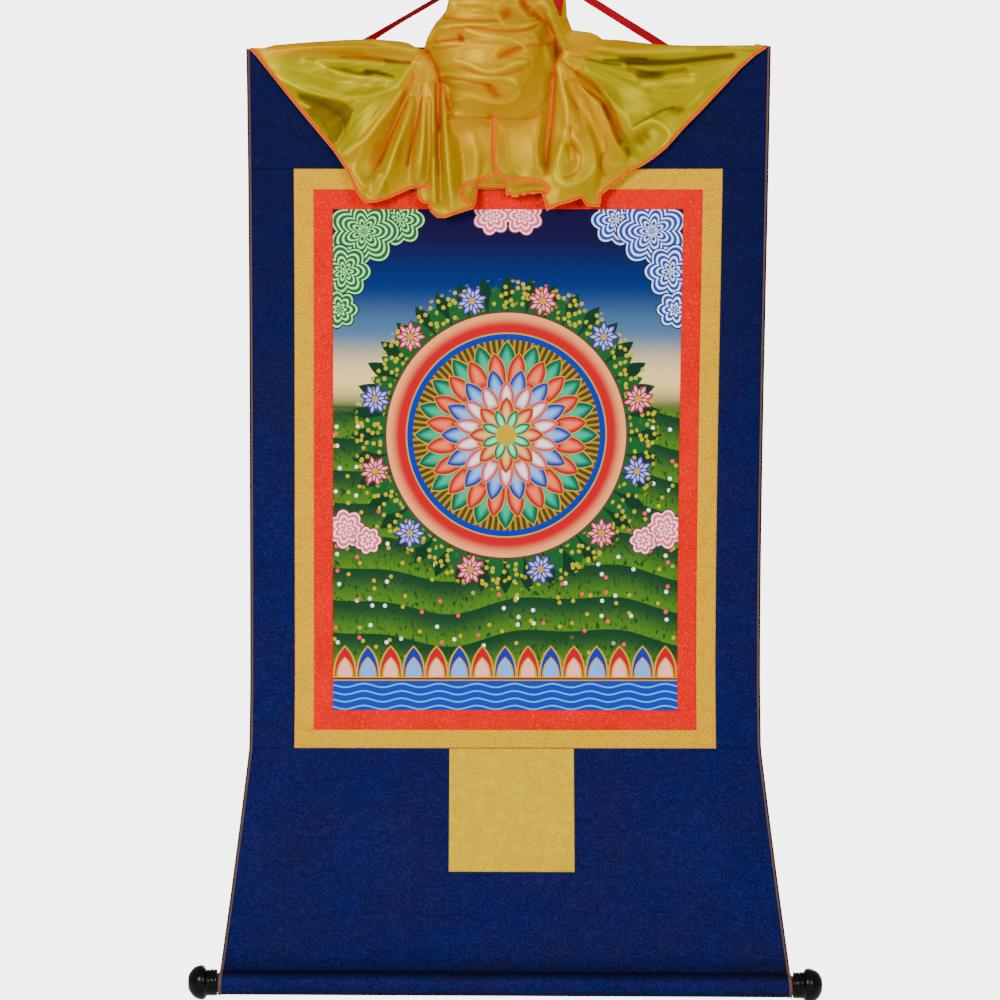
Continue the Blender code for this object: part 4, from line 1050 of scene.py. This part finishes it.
def stations(low, high, spacing):
    """Values from low to high, close together at both ends where the cloth rounds into seams."""
    ends = [0, 0.35, 0.8, 1.4, 2.4]
    count = max(2, round((high - low - 2 * ends[-1]) / spacing))
    middle = np.linspace(low + ends[-1], high - ends[-1], count + 1)
    return np.concatenate(([low + e for e in ends[:-1]], middle,
                           [high - e for e in reversed(ends[:-1])]))


def rounded(values):
    """How far the cloth turns back at both ends of a run of values."""
    near = np.minimum(values - values[0], values[-1] - values)
    return TUCK_DEPTH * np.clip(1 - near / TUCK_REACH, 0, 1) ** 2


def closed_grid(rows, columns):
    """Faces of a sheet made of a front grid and a back grid, and which of them are the back."""
    at = np.arange(rows * columns).reshape(rows, columns)
    quad = np.stack((at[:-1, :-1], at[1:, :-1], at[1:, 1:], at[:-1, 1:]), axis=-1).reshape(-1, 4)
    back = quad[:, ::-1] + rows * columns
    rim = np.concatenate((at[0, :], at[1:, -1], at[-1, -2::-1], at[-2:0:-1, 0]))
    after = np.roll(rim, -1)
    edge = np.stack((after, rim, rim + rows * columns, after + rows * columns), axis=-1)
    faces = np.concatenate((quad, back, edge))
    numbers = np.concatenate((np.zeros(len(quad)), np.ones(len(back)), np.zeros(len(edge))))
    return faces, numbers


def add_cloth(name, path, edge, spacing, materials, tuck=(True, True), shade=0.0):
    """A sheet of cloth swept across its width.

    path has rows of y, drop, and the direction that its front faces in (y, drop). edge(drop)
    gives the two u values between which it lies. tuck says whether its path's first and last
    ends round back into a seam. shade is how dark each row of the path is in a crease.
    """
    path = np.asarray(path, float)
    y, drop, face_y, face_drop = path.T
    low, high = edge(drop)
    share = stations(0.0, float(np.max(high - low)), spacing)
    side_tuck = rounded(share)
    share = share / share[-1]
    run = np.concatenate(([0], np.cumsum(np.hypot(np.diff(y), np.diff(drop)))))
    end_tuck = rounded(run)
    middle = run[-1] / 2
    end_tuck = np.where(run < middle, end_tuck * tuck[0], end_tuck * tuck[1])
    u = low[None, :] + (high - low)[None, :] * share[:, None]
    cut_drop = drop[0] + run
    out = -np.maximum(side_tuck[:, None], end_tuck[None, :])
    lift = ripple(u, cut_drop[None, :])
    points = []
    for thickness, turned in ((0.0, 1.0), (CLOTH, 0.0)):
        off = out * turned - thickness
        at_y = y[None, :] + face_y * off - lift * abs(face_y)
        at_drop = drop[None, :] + face_drop * off
        points.append(hang(u, at_y, at_drop).reshape(-1, 3))
    dark = np.broadcast_to(shade, u.shape)
    cut = np.stack((u, np.broadcast_to(cut_drop, u.shape), dark), axis=-1).reshape(-1, 3)
    faces, numbers = closed_grid(len(share), len(path))
    return add_mesh(name, np.concatenate(points), faces, materials, numbers,
                    cut=np.concatenate((cut, cut)))


def straight(top, foot):
    """Path of a flat sheet: it hangs from top to foot and faces forwards."""
    return [(FACE_Y, drop, -1.0, 0.0) for drop in stations(top, foot, CLOTH_CELL)]


def arc(centre_y, centre_drop, radius, start, end, steps):
    """Path round a centre; angle 0 is behind it and 90 is above it."""
    turned = [math.radians(a) for a in np.linspace(start, end, steps + 1)]
    return [(centre_y + radius * math.cos(a), centre_drop - radius * math.sin(a),
             math.cos(a), -math.sin(a)) for a in turned]


def whole_width(drop):
    half = NAVY_HALF + flare(drop)
    return -half, half


def dress(piece, node, flat=None):
    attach(piece, "root")
    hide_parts(node)
    if flat:
        tuple(side * MM for side in flat)


# ---- the scroll ----

def add_heading(materials):
    """Navy heading: its top goes over the batten and back down behind, to a seam."""
    path = arc(0, BATTEN_LOW, BATTEN_TURN, -70, 0, 4)
    path += [(BATTEN_TURN, drop, 1.0, 0.0) for drop in (13, 10, 7)]
    path += arc(0, BATTEN_HIGH, BATTEN_TURN, 0, 180, 12)
    path += straight(BATTEN_HIGH + 3, GOLD_TOP)
    piece = add_cloth("heading_cloth", path, whole_width, WIDE_CELL, materials, (False, True))
    dress(piece, "heading_panel", (2 * NAVY_HALF, GOLD_TOP + BATTEN_BACK))


def add_foot(materials):
    """Navy foot: it flares, goes under the roller from behind and ends in front at a crease."""
    path = straight(FOOT_SEAM, FOOT_BEND)[:-4]       # its last rows would round into a seam
    path.append((BEND_Y, BEND_DROP, -1.0, 0.0))
    path += [(y, drop, -back_y, -back_drop) for y, drop, back_y, back_drop
             in arc(ROLLER_Y, ROLLER_DROP, SLEEVE_RADIUS - CLOTH, 0, -330, 44)]
    y, drop, _, _ = np.array(path).T
    high = (drop - ROLLER_DROP) / SLEEVE_RADIUS      # -1 at the roller's top and 1 at its foot
    # Painted shade: dark in the crease where the foot meets the sleeve's top, and dark bands along the
    # sleeve's top and foot
    crease = 0.9 * smooth((drop - SLEEVE_TOP + 3) / 4)
    turned = 0.9 * smooth((-0.1 - high) / 0.6) + 0.8 * smooth((high - 0.45) / 0.4)
    shade = np.where(y < ROLLER_Y + 2, turned, crease)
    piece = add_cloth("foot_cloth", path, whole_width, WIDE_CELL, materials, (True, False), shade)
    for face in piece.data.polygons:
        if face.center.z < -(TOP_EDGE + SLEEVE_TOP) * MM:
            face.material_index = 0           # brocade on both sides of the sleeve
    height = ROLLER_DROP - FOOT_SEAM + 2 * math.pi * SLEEVE_RADIUS
    wide = 2 * (NAVY_HALF + flare(ROLLER_DROP))
    dress(piece, "foot_panel", (wide, height))


def add_frames(cloths):
    """Navy sides, then the gold and red strips butted round the picture."""
    def piece(name, node, slot, left, right, top, foot, held="hung"):
        made = add_cloth(name, straight(top, foot),
                         lambda drop: (np.full_like(drop, left), np.full_like(drop, right)),
                         CLOTH_CELL, cloths[slot])
        dress(made, node, (right - left, foot - top))

    for side, sign in (("left", -1), ("right", 1)):
        for kind, node, slot, inner, outer, top, foot in (
            ("side", "side_panel", "navy_brocade", GOLD_HALF, NAVY_HALF, GOLD_TOP, FOOT_SEAM),
            ("gold", "gold_strip", "gold_brocade", RED_HALF, GOLD_HALF, RED_TOP, RED_FOOT),
            ("red", "red_strip", "red_brocade", PICTURE_HALF, RED_HALF, PICTURE_TOP,
             PICTURE_FOOT),
        ):
            low, high = sorted((sign * inner, sign * outer))
            piece(f"{kind}_cloth_{side}", f"{node}_{side}", slot, low, high, top, foot)
    for kind, side, reach, top, foot in (
        ("gold", "top", GOLD_HALF, GOLD_TOP, RED_TOP),
        ("gold", "bottom", GOLD_HALF, RED_FOOT, FOOT_SEAM),
        ("red", "top", RED_HALF, RED_TOP, PICTURE_TOP),
        ("red", "bottom", RED_HALF, PICTURE_FOOT, RED_FOOT),
    ):
        piece(f"{kind}_cloth_{side}", f"{kind}_strip_{side}", f"{kind}_brocade",
              -reach, reach, top, foot)
    piece("picture_cloth", "picture_panel", "picture", -PICTURE_HALF, PICTURE_HALF,
          PICTURE_TOP, PICTURE_FOOT, "stretched")


def add_door(material, back):
    """Pale gold patch sewn on the foot: a thin sheet that follows the foot's ripple."""
    low, high = DOOR_SHIFT - DOOR_HALF, DOOR_SHIFT + DOOR_HALF
    us = stations(low, high, CLOTH_CELL)
    drops = stations(FOOT_SEAM + 0.3, DOOR_FOOT - 0.15, CLOTH_CELL)
    u, drop = np.meshgrid(us, drops, indexing="ij")
    tuck = np.maximum(rounded(us)[:, None], rounded(drops)[None, :])
    ground = FACE_Y - ripple(u, drop) * 0.9
    front, behind = ground - DOOR_FRONT + tuck, ground - DOOR_BACK
    points = [hang(u, y, drop).reshape(-1, 3) for y in (front, behind)]
    cut = np.stack((u, drop, np.zeros_like(u)), axis=-1).reshape(-1, 3)
    faces, numbers = closed_grid(len(us), len(drops))
    piece = add_mesh("door_cloth", np.concatenate(points), faces, [material, back], numbers,
                     cut=np.concatenate((cut, cut)))
    dress(piece, "door_patch", (2 * DOOR_HALF, DOOR_FOOT - FOOT_SEAM))


def face_outwards(piece):
    """Turns a closed mesh's faces outwards."""
    work = bmesh.new()
    work.from_mesh(piece.data)
    bmesh.ops.recalc_face_normals(work, faces=work.faces)
    work.to_mesh(piece.data)
    work.free()


def add_bar(name, rings, material, cut, sharp):
    """A closed bar through rings of equally many points."""
    count, last = len(rings[0]), len(rings) - 1
    faces = [tuple(range(count)), tuple(reversed(range(last * count, (last + 1) * count)))]
    for k in range(last):
        for i in range(count):
            j = (i + 1) % count
            faces.append((k * count + i, k * count + j, (k + 1) * count + j, (k + 1) * count + i))
    points = [point for ring in rings for point in ring]
    piece = add_mesh(name, points, faces, [material], cut=cut, sharp=sharp)
    face_outwards(piece)
    return piece


def add_piping(side, sign, material):
    """Satin piping down one side edge and round the end of the roller's sleeve."""
    path = [(FACE_Y + 1.0, drop, 0.0) for drop in np.linspace(1, PIPING_FOOT, 136)]
    turn = ROD_RADIUS + 0.4 + PIPING_DEPTH / 2
    for angle in np.radians(range(-4, -316, -6)):
        path.append((ROLLER_Y + turn * math.cos(angle), ROLLER_DROP - turn * math.sin(angle), angle))
    section = []                                     # between round and square
    for angle in 2 * math.pi * np.arange(14) / 14:
        c, s = math.cos(angle), math.sin(angle)
        squared = max(abs(c), abs(s)) ** 0.55
        section.append((c / squared, s / squared))
    rings, cut, run = [], [], 0.0
    last_y, last_drop, _ = path[0]
    for y, drop, angle in path:
        run += math.hypot(y - last_y, drop - last_drop)
        last_y, last_drop = y, drop
        middle = CLOTH_HALF - PIPING_WIDTH / 2 + flare(drop)
        ring = []
        for across, out in section:
            wide = sign * (middle + across * PIPING_WIDTH / 2)
            deep = out * PIPING_DEPTH / 2
            ring.append(hang(wide, y + deep * math.cos(angle), drop - deep * math.sin(angle)))
            cut.append((across, run, 0))
        rings.append(ring)
    dress(add_bar(f"piping_trim_{side}", rings, material, cut, 60), f"piping_{side}")


def add_knob(side, sign, material):
    """Turned knob with fine rings, against one end of the roller's sleeve."""
    points, rings = [], []
    for distance, radius in KNOB_PROFILE:
        centre = hang(sign * (KNOB_START + distance), ROLLER_Y, ROLLER_DROP)
        count = KNOB_FACETS if radius else 1
        rings.append(list(range(len(points), len(points) + count)))
        for angle in 2 * math.pi * np.arange(count) / KNOB_FACETS:
            points.append(centre + radius * np.array((0, math.cos(angle), math.sin(angle))))
    faces = [tuple(rings[0])]
    for near, far in zip(rings, rings[1:]):
        for k in range(KNOB_FACETS):
            n = (k + 1) % KNOB_FACETS
            faces.append((near[k], near[n], far[0]) if len(far) == 1
                         else (near[k], near[n], far[n], far[k]))
    piece = add_mesh(f"turned_knob_{side}", points, faces, [material], sharp=50)
    face_outwards(piece)
    dress(piece, f"knob_{side}")


# ---- ribbon ----

def spline(rows, step):
    """Points about step apart on a smooth curve through rows of numbers."""
    ends = np.array(rows, float)
    padded = np.vstack([2 * ends[0] - ends[1], ends, 2 * ends[-1] - ends[-2]])
    line = [ends[0]]
    for a, b, c, d in zip(padded, padded[1:], padded[2:], padded[3:]):
        count = max(1, round(float(np.linalg.norm((c - b)[:2])) / step))
        for k in range(1, count + 1):
            t = k / count
            line.append(0.5 * (2 * b + (c - a) * t + (2 * a - 5 * b + 4 * c - d) * t**2
                               + (3 * b - a - 3 * c + d) * t**3))
    return line


def add_ribbon(material):
    """Flat ribbon over the hook, its two ends against the back of the batten's sleeve."""
    route = spline(RIBBON_ROUTE, RIBBON_CELL)
    line = [Vector(row[:3]) for row in route]
    section = ((-1, 0), (-0.92, 1), (-0.5, 1), (0, 1), (0.5, 1), (0.92, 1),
               (1, 0), (0.92, -1), (0.5, -1), (0, -1), (-0.5, -1), (-0.92, -1))
    rings, cut, run = [], [], 0.0
    for k, (here, row) in enumerate(zip(line, route)):
        ahead = (line[min(k + 1, len(line) - 1)] - line[max(k - 1, 0)]).normalized()
        across = ahead.cross(Vector((0, 1, 0))).normalized()
        through = ahead.cross(across)
        turn = math.radians(row[3])
        wide = (across * math.cos(turn) + through * math.sin(turn)) * RIBBON_WIDTH / 2
        deep = ahead.cross(wide).normalized() * RIBBON_DEPTH / 2
        run += (here - line[k - 1]).length if k else 0
        rings.append([here + wide * a + deep * b for a, b in section])
        cut += [(a, run, 0) for a, b in section]
    piece = add_bar("ribbon_satin", rings, material, cut, 50)
    dress(piece, "hanging_ribbon")
    run * MM


# ---- veil ----

def nearest_on(line, x, z):
    """The nearest place on a line to each point.

    Gives the distance to it, how far along the line it is, and its own x and z.
    """
    found = np.full(x.shape, 1e9), np.zeros(x.shape), x, z
    run = 0.0
    for a, b in zip(line, line[1:]):
        dx, dz = b[:2] - a[:2]
        long = math.hypot(dx, dz)
        if long < 1e-6:
            continue
        share = np.clip(((x - a[0]) * dx + (z - a[1]) * dz) / long**2, 0, 1)
        near_x, near_z = a[0] + dx * share, a[1] + dz * share
        far = np.hypot(x - near_x, z - near_z)
        closer = far < found[0]
        found = [np.where(closer, new, old)
                 for new, old in zip((far, run + long * share, near_x, near_z), found)]
        run += long
    return found


def inside(outline, x, z):
    """Whether each point lies inside a closed outline."""
    found = np.zeros(x.shape, bool)
    for a, b in zip(outline, outline[1:]):
        if a[1] != b[1]:
            crossing = (a[1] > z) != (b[1] > z)
            found ^= crossing & (x < a[0] + (b[0] - a[0]) * (z - a[1]) / (b[1] - a[1]))
    return found


def neighbours(values, cells):
    """Sum of each cell's four neighbours within the veil, and how many they are."""
    held = np.where(cells, values, 0.0)
    total, count = np.zeros_like(values), np.zeros_like(values)
    for axis in (0, 1):
        for way in (1, -1):
            side, there = np.roll(held, way, axis), np.roll(cells, way, axis)
            edge = [slice(None)] * 2
            edge[axis] = 0 if way == 1 else -1
            side[tuple(edge)], there[tuple(edge)] = 0, False
            total, count = total + side, count + there
    return total, count


def film(cells, known, heights):
    """Heights of the cells between the known ones, as of a film stretched over them."""
    guess = None
    for size in (16, 8, 4, 2, 1):
        tall, wide = -(-cells.shape[0] // size), -(-cells.shape[1] // size)
        pad = ((0, tall * size - cells.shape[0]), (0, wide * size - cells.shape[1]))

        def pooled(grid):
            return np.pad(grid, pad).reshape(tall, size, wide, size).sum(axis=(1, 3))

        inner = pooled(cells.astype(float)) > 0
        count = pooled(known.astype(float))
        fixed = count > 0
        value = pooled(np.where(known, heights, 0.0)) / np.maximum(count, 1)
        if guess is None:
            guess = np.full(inner.shape, value[fixed].mean())
        else:
            guess = np.repeat(np.repeat(guess, 2, 0), 2, 1)[:tall, :wide]
        guess[fixed] = value[fixed]
        for _ in range(FILM_ROUNDS):
            total, near = neighbours(guess, inner)
            guess = np.where(fixed | (near == 0), guess, total / np.maximum(near, 1))
    return guess


def blurred(values, cells, rounds):
    """The values softened over about the square root of half the rounds, in cells."""
    for _ in range(rounds):
        total, near = neighbours(values, cells)
        values = np.where(cells, (values + total) / (1 + near), values)
    return values


def sagged(height, relief, cells):
    """The heights with each fold leant over downwards, steep below and gentle above."""
    rows = np.arange(height.shape[1])
    leant = height.copy()
    for i in range(height.shape[0]):
        place = np.clip(rows + SAG * relief[i] / VEIL_CELL, 0, len(rows) - 1)
        near = place.astype(int)
        after = np.minimum(near + 1, len(rows) - 1)
        share = place - near
        held = cells[i] & cells[i, near] & cells[i, after]
        leant[i] = np.where(held, height[i, near] * (1 - share) + height[i, after] * share,
                            height[i])
    return leant


def pleats(x, z):
    """Fine creases that run out from where the veil is tied up."""
    total = np.zeros(x.shape)
    for k, (px, pz) in enumerate(PINCHES):
        far, angle = np.hypot(x - px, z - pz), np.arctan2(z - pz, x - px)
        wave = (np.sin(34 * angle + 2.2 * np.sin(5 * angle + k) + far / 45)
                + 0.6 * np.sin(61 * angle + 3 * np.sin(8 * angle) - far / 30))
        outward = smooth((px * (x - px) + 900) / 1800)
        total += 0.28 * wave * smooth((far - 12) / 45) * smooth((150 - far) / 70) * outward
    lump = smooth(1.6 - np.hypot(x / 52, (z + 52) / 50))
    crease = (np.sin(z / 1.9 + 1.6 * np.sin(x / 13 + 1) + x / 40)
              + 0.7 * np.sin(z / 1.3 - 1.9 * np.sin(x / 17 - z / 30)))
    return total + 0.22 * crease * lump


def picked(rows):
    """Points picked on the photograph as x and z, to a tenth of a mm, and what follows them."""
    return [(round((column - MIDDLE_COLUMN) * PIXEL, 1), round((ORIGIN_ROW - row) * PIXEL, 1), *rest)
            for column, row, *rest in rows]


def stroke(points, width, x, z):
    """How near each place is to a crease: 1 on it, fading over its half width and to its ends."""
    line = np.array(spline(picked(points), 1.5))
    low, high = line.min(axis=0) - 3 * width, line.max(axis=0) + 3 * width
    near = (x > low[0]) & (x < high[0]) & (z > low[1]) & (z < high[1])
    far, place, _, _ = nearest_on(line, x[near], z[near])
    end = np.minimum(place, place.max() - place)
    profile = np.zeros(x.shape)
    profile[near] = np.exp(-(far / width) ** 2) * smooth(end / min(2.5 * width, 0.4 * place.max()))
    return profile


def patch(points, soft, x, z):
    """1 inside a closed outline and 0 outside, with a soft rim."""
    outline = np.array(picked(points + points[:1]))
    far = nearest_on(outline, x, z)[0]
    return smooth(0.5 + np.where(inside(outline, x, z), far, -far) / soft)


def folded(outline, cells, low, x, z):
    """Heights of the veil: a film over its outline and folds, the folds leant over downwards."""
    total, count = np.zeros(x.shape), np.zeros(x.shape)
    lines = [spline(picked(rows), 0.5) for _, rows in VEIL_FOLDS]
    lines.append([a + (b - a) * t for a, b in zip(outline, outline[1:])
                  for t in np.linspace(0, 1, 12)])
    for line in lines:
        for px, pz, height in line:
            i, j = round((px - low[0]) / VEIL_CELL), round((pz - low[1]) / VEIL_CELL)
            if 0 <= i < x.shape[0] and 0 <= j < x.shape[1]:
                total[i, j] += height
                count[i, j] += 1
    known = (count > 0) & cells
    height = film(cells, known, np.where(known, total / np.maximum(count, 1), 0))
    height = blurred(height, cells, 2)
    relief = height - blurred(height, cells, 200)
    return sagged(height + FOLD_GAIN * relief, relief, cells) + pleats(x, z)


def creased(height, cells, rim_far, x, z):
    """The veil's heights with its creases, and the three numbers that its colour depends on.

    They are its painted light and shade from how deep it is folded, below 0 in the hollows, how much
    of it is a single layer, and how bright the painted highlight on its crests is.
    """
    # Painted light and shade of the folds: darker where the veil lies deep, lighter where it stands out
    fold = ((height - blurred(height, cells, 120)) / BROAD_FOLD
            + (height - blurred(height, cells, 24)) / FINE_FOLD)
    fold = np.clip(fold, -0.7, 0.7) * smooth((rim_far - 1) / 5)
    crest_highlights = np.zeros(x.shape)
    # Each crease adds relief, and painted highlight on a crest or painted shade in a hollow
    for tone, width, points in VEIL_CREASES:
        profile = stroke(points, width, x, z)
        fold = fold + tone * profile
        crest_highlights = crest_highlights + max(tone, 0) * profile
        height = height + CREASE_HEIGHT * tone * min(width, WIDEST_CREASE) * profile
    # painted sheen and shade of flat patches
    for tone, soft, points in VEIL_SHEEN_AND_SHADE:
        fold = fold + tone * patch(points, soft, x, z)
    single = sum(patch(points, SINGLE_SOFT, x, z) for points in VEIL_SINGLE)
    single = np.maximum(single, 0.4 * smooth((THIN_FROM - z) / 45))
    return height, (np.clip(fold, -1.5, 1.5), single, np.clip(crest_highlights - 0.35, 0, 1))


def nearest_hem(x, z):
    """Distance from each point to the nearest overlocked hem, and the place along it."""
    hems = [[np.array(row, float) for row in picked(part)] for name, part in VEIL_OUTLINE
            if name in HEMMED]
    for first, second in zip(hems, hems[1:]):
        first.append(second[0])
    hems = [(line, 1.0) for line in hems]
    hems += [(spline(picked(rows), 2.0), INNER_HEM) for _, rows in VEIL_HEMS]
    best, where, start = np.full(x.shape, 99.0), np.zeros(x.shape), 0.0
    for line, narrowed in hems:
        far, place, _, _ = nearest_on(line, x, z)
        closer = far * narrowed < best
        best = np.where(closer, far * narrowed, best)
        where = np.where(closer, start + place, where)
        start += HEM_APART
    return best, where


def film_faces(full, used):
    """Faces over the full cells of a grid whose used points count up from 0.

    Gives those of the front alone, and those of the front, the back and the rim.
    """
    size = int(used.sum())
    index = np.zeros(used.shape, int)
    index[used] = np.arange(size)
    quads = np.stack((index[:-1, :-1][full], index[1:, :-1][full], index[1:, 1:][full],
                      index[:-1, 1:][full]), axis=-1)
    sides = np.concatenate([quads[:, [k, (k + 1) % 4]] for k in range(4)])
    key = np.sort(sides, axis=1) @ np.array((size, 1))
    _, first, uses = np.unique(key, return_index=True, return_counts=True)
    start, end = sides[first[uses == 1]].T           # the sides that only one cell has
    rim = np.stack((end, start, start + size, end + size), axis=-1)
    return quads, np.concatenate((quads, quads[:, ::-1] + size, rim))


def add_veil(material):
    """Silk veil: a film over its folds, thick only where it is gathered into the bunch."""
    outline = [np.array(row, float) for _, part in VEIL_OUTLINE for row in picked(part)]
    outline.append(outline[0])
    low = np.min(outline, axis=0)[:2] - 2 * VEIL_CELL
    high = np.max(outline, axis=0)[:2] + 2 * VEIL_CELL
    x, z = np.meshgrid(np.arange(low[0], high[0], VEIL_CELL),
                       np.arange(low[1], high[1], VEIL_CELL), indexing="ij")
    rim_far, _, rim_x, rim_z = nearest_on(outline, x, z)
    cells = inside(outline, x, z) | (rim_far < 0.45 * VEIL_CELL)
    height = folded(outline, cells, low, x, z)
    height, tones = creased(height, cells, rim_far, x, z)
    hem_far, hem_place = nearest_hem(x, z)
    height = height + HEM_RISE * smooth((HEM_WIDTH - hem_far) / 0.8)

    # The mesh: whole cells, with their outer corners drawn onto the outline
    full = cells[:-1, :-1] & cells[1:, :-1] & cells[1:, 1:] & cells[:-1, 1:]
    used = np.zeros(x.shape, int)
    for di, dj in ((0, 0), (1, 0), (1, 1), (0, 1)):
        used[di:di + full.shape[0], dj:dj + full.shape[1]] += full
    edge = (used > 0) & (used < 4)
    x, z = np.where(edge, rim_x, x), np.where(edge, rim_z, z)
    share = smooth((1 - np.hypot((x - BUNCH_MIDDLE[0]) / BUNCH_SIZE[0],
                                 (z - BUNCH_MIDDLE[1]) / BUNCH_SIZE[1])) / 0.25)
    share = share * smooth(rim_far / BUNCH_RIM)
    under = height - SILK
    crumple = 1.5 * np.sin(x / 5.2 + np.sin(z / 9) * 2) * np.sin(z / 7.1 + x / 19)
    under = np.minimum(under, under + (BUNCH_BACK + crumple - under) * share)

    def rows(*grids):
        return np.stack([grid[used > 0] for grid in grids], axis=-1)

    front, behind = rows(x, FACE_Y - height, z), rows(x, FACE_Y - under, z)
    quads, faces = film_faces(full, used > 0)
    traits = rows(*tones)
    plain = traits * (1 - rows(share))               # the back of the bunch
    hem = rows(hem_far, hem_place, np.zeros(x.shape))
    piece = add_mesh("silk_veil", np.concatenate((front, behind)), faces, [material], sharp=80,
                     fold=np.concatenate((traits, plain)), hem=np.concatenate((hem, hem)))
    dress(piece, "veil")
    return BVHTree.FromPolygons(front.tolist(), quads.tolist())


def add_tail(material, veil):
    """End of a red ribbon on the gathered silk, tucked in at its tip."""
    rows = spline(TAIL_ROWS, TAIL_CELL)
    across = (-1.0, -0.5, 0.0, 0.5, 1.0)
    front, behind, cut = [], [], []
    for k, (z, middle, width) in enumerate(rows):
        near = [veil.ray_cast(Vector((px, -200, pz)), Vector((0, 1, 0)))[0]
                for px in (middle - width / 2, middle, middle + width / 2)
                for pz in (z - 2, z, z + 2)]
        y = min(hit.y for hit in near if hit) - 0.5
        for a in across:
            bow = 0.5 * (1 - a * a)
            front.append((middle + a * width / 2, y - TAIL_DEPTH - bow, z))
            behind.append((middle + a * width / 2, y - bow, z))
            cut.append((a, k * TAIL_CELL, 0))
    faces, _ = closed_grid(len(rows), len(across))
    piece = add_mesh("red_tail_satin", front + behind, faces, [material], cut=cut + cut, sharp=60)
    face_outwards(piece)
    dress(piece, "red_ribbon_tail")


# ---- studio ----

def add_camera():
    data = bpy.data.cameras.new("camera")
    data.sensor_width = SENSOR
    data.lens = SENSOR * EYE_DISTANCE / VIEW_WIDTH
    data.clip_end = 50.0
    camera = bpy.data.objects.new("camera", data)
    camera.location = Vector((EYE_X, -EYE_DISTANCE, EYE_Z)) * MM
    camera.rotation_euler = (math.radians(90), 0, 0)
    bpy.context.scene.collection.objects.link(camera)
    bpy.context.scene.camera = camera


def add_lamp(name, place, size, power):
    """A soft square lamp that looks at the middle of the scroll."""
    data = bpy.data.lights.new(name, "AREA")
    data.size, data.energy = size, power
    lamp = bpy.data.objects.new(name, data)
    lamp.location = place
    aim = Vector((EYE_X * MM, 0, EYE_Z * MM)) - lamp.location
    lamp.rotation_euler = aim.to_track_quat("-Z", "Y").to_euler()
    bpy.context.scene.collection.objects.link(lamp)


def add_studio():
    """Pale floor below the scroll, white surroundings and three soft lamps."""
    world = bpy.data.worlds.new("studio")
    bpy.context.scene.world = world
    world.use_nodes = True
    tree = world.node_tree
    seen = Field(tree, tree.nodes.new("ShaderNodeLightPath").outputs["Is Camera Ray"])
    tree.nodes["Background"].inputs["Color"].default_value = (1, 1, 1, 1)
    plug(tree, seen * (BACKDROP - SURROUND) + SURROUND, tree.nodes["Background"].inputs["Strength"])
    for name, place, size, power in LAMPS:
        add_lamp(name, place, size, power)
    paint = Paint("floor", 0.8)
    x, y, _ = paint.place()
    paint.colour(paint.blend(paint.noise(x, y, 300), rgb(246, 244, 245), rgb(244, 246, 239)))
    angles = [2 * math.pi * k / 96 for k in range(96)]
    rim = [(FLOOR_RADIUS * math.cos(a), FLOOR_RADIUS * math.sin(a), FLOOR_Z) for a in angles]
    floor = add_mesh("floor", rim, [tuple(range(96))], [paint.material])


def main():
    add_camera()
    ribbon = ribbon_satin()
    add_ribbon(ribbon)
    back = lining()
    cloths = {"navy_brocade": [navy(), back], "gold_brocade": [gold(), back],
              "red_brocade": [red(), back], "picture": [picture(), back]}
    add_heading(cloths["navy_brocade"])
    add_frames(cloths)
    add_foot(cloths["navy_brocade"])
    add_door(door(), back)
    satin, gloss, timber = piping_satin(), lacquer(), wood()
    for side, sign in (("left", -1), ("right", 1)):
        add_piping(side, sign, satin)
        add_knob(side, sign, gloss)
    for name in ("top_batten", "roller_rod"):
        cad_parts[name].material_slots[0].material = timber
    veil = add_veil(silk())
    add_tail(ribbon, veil)
    add_studio()


main()
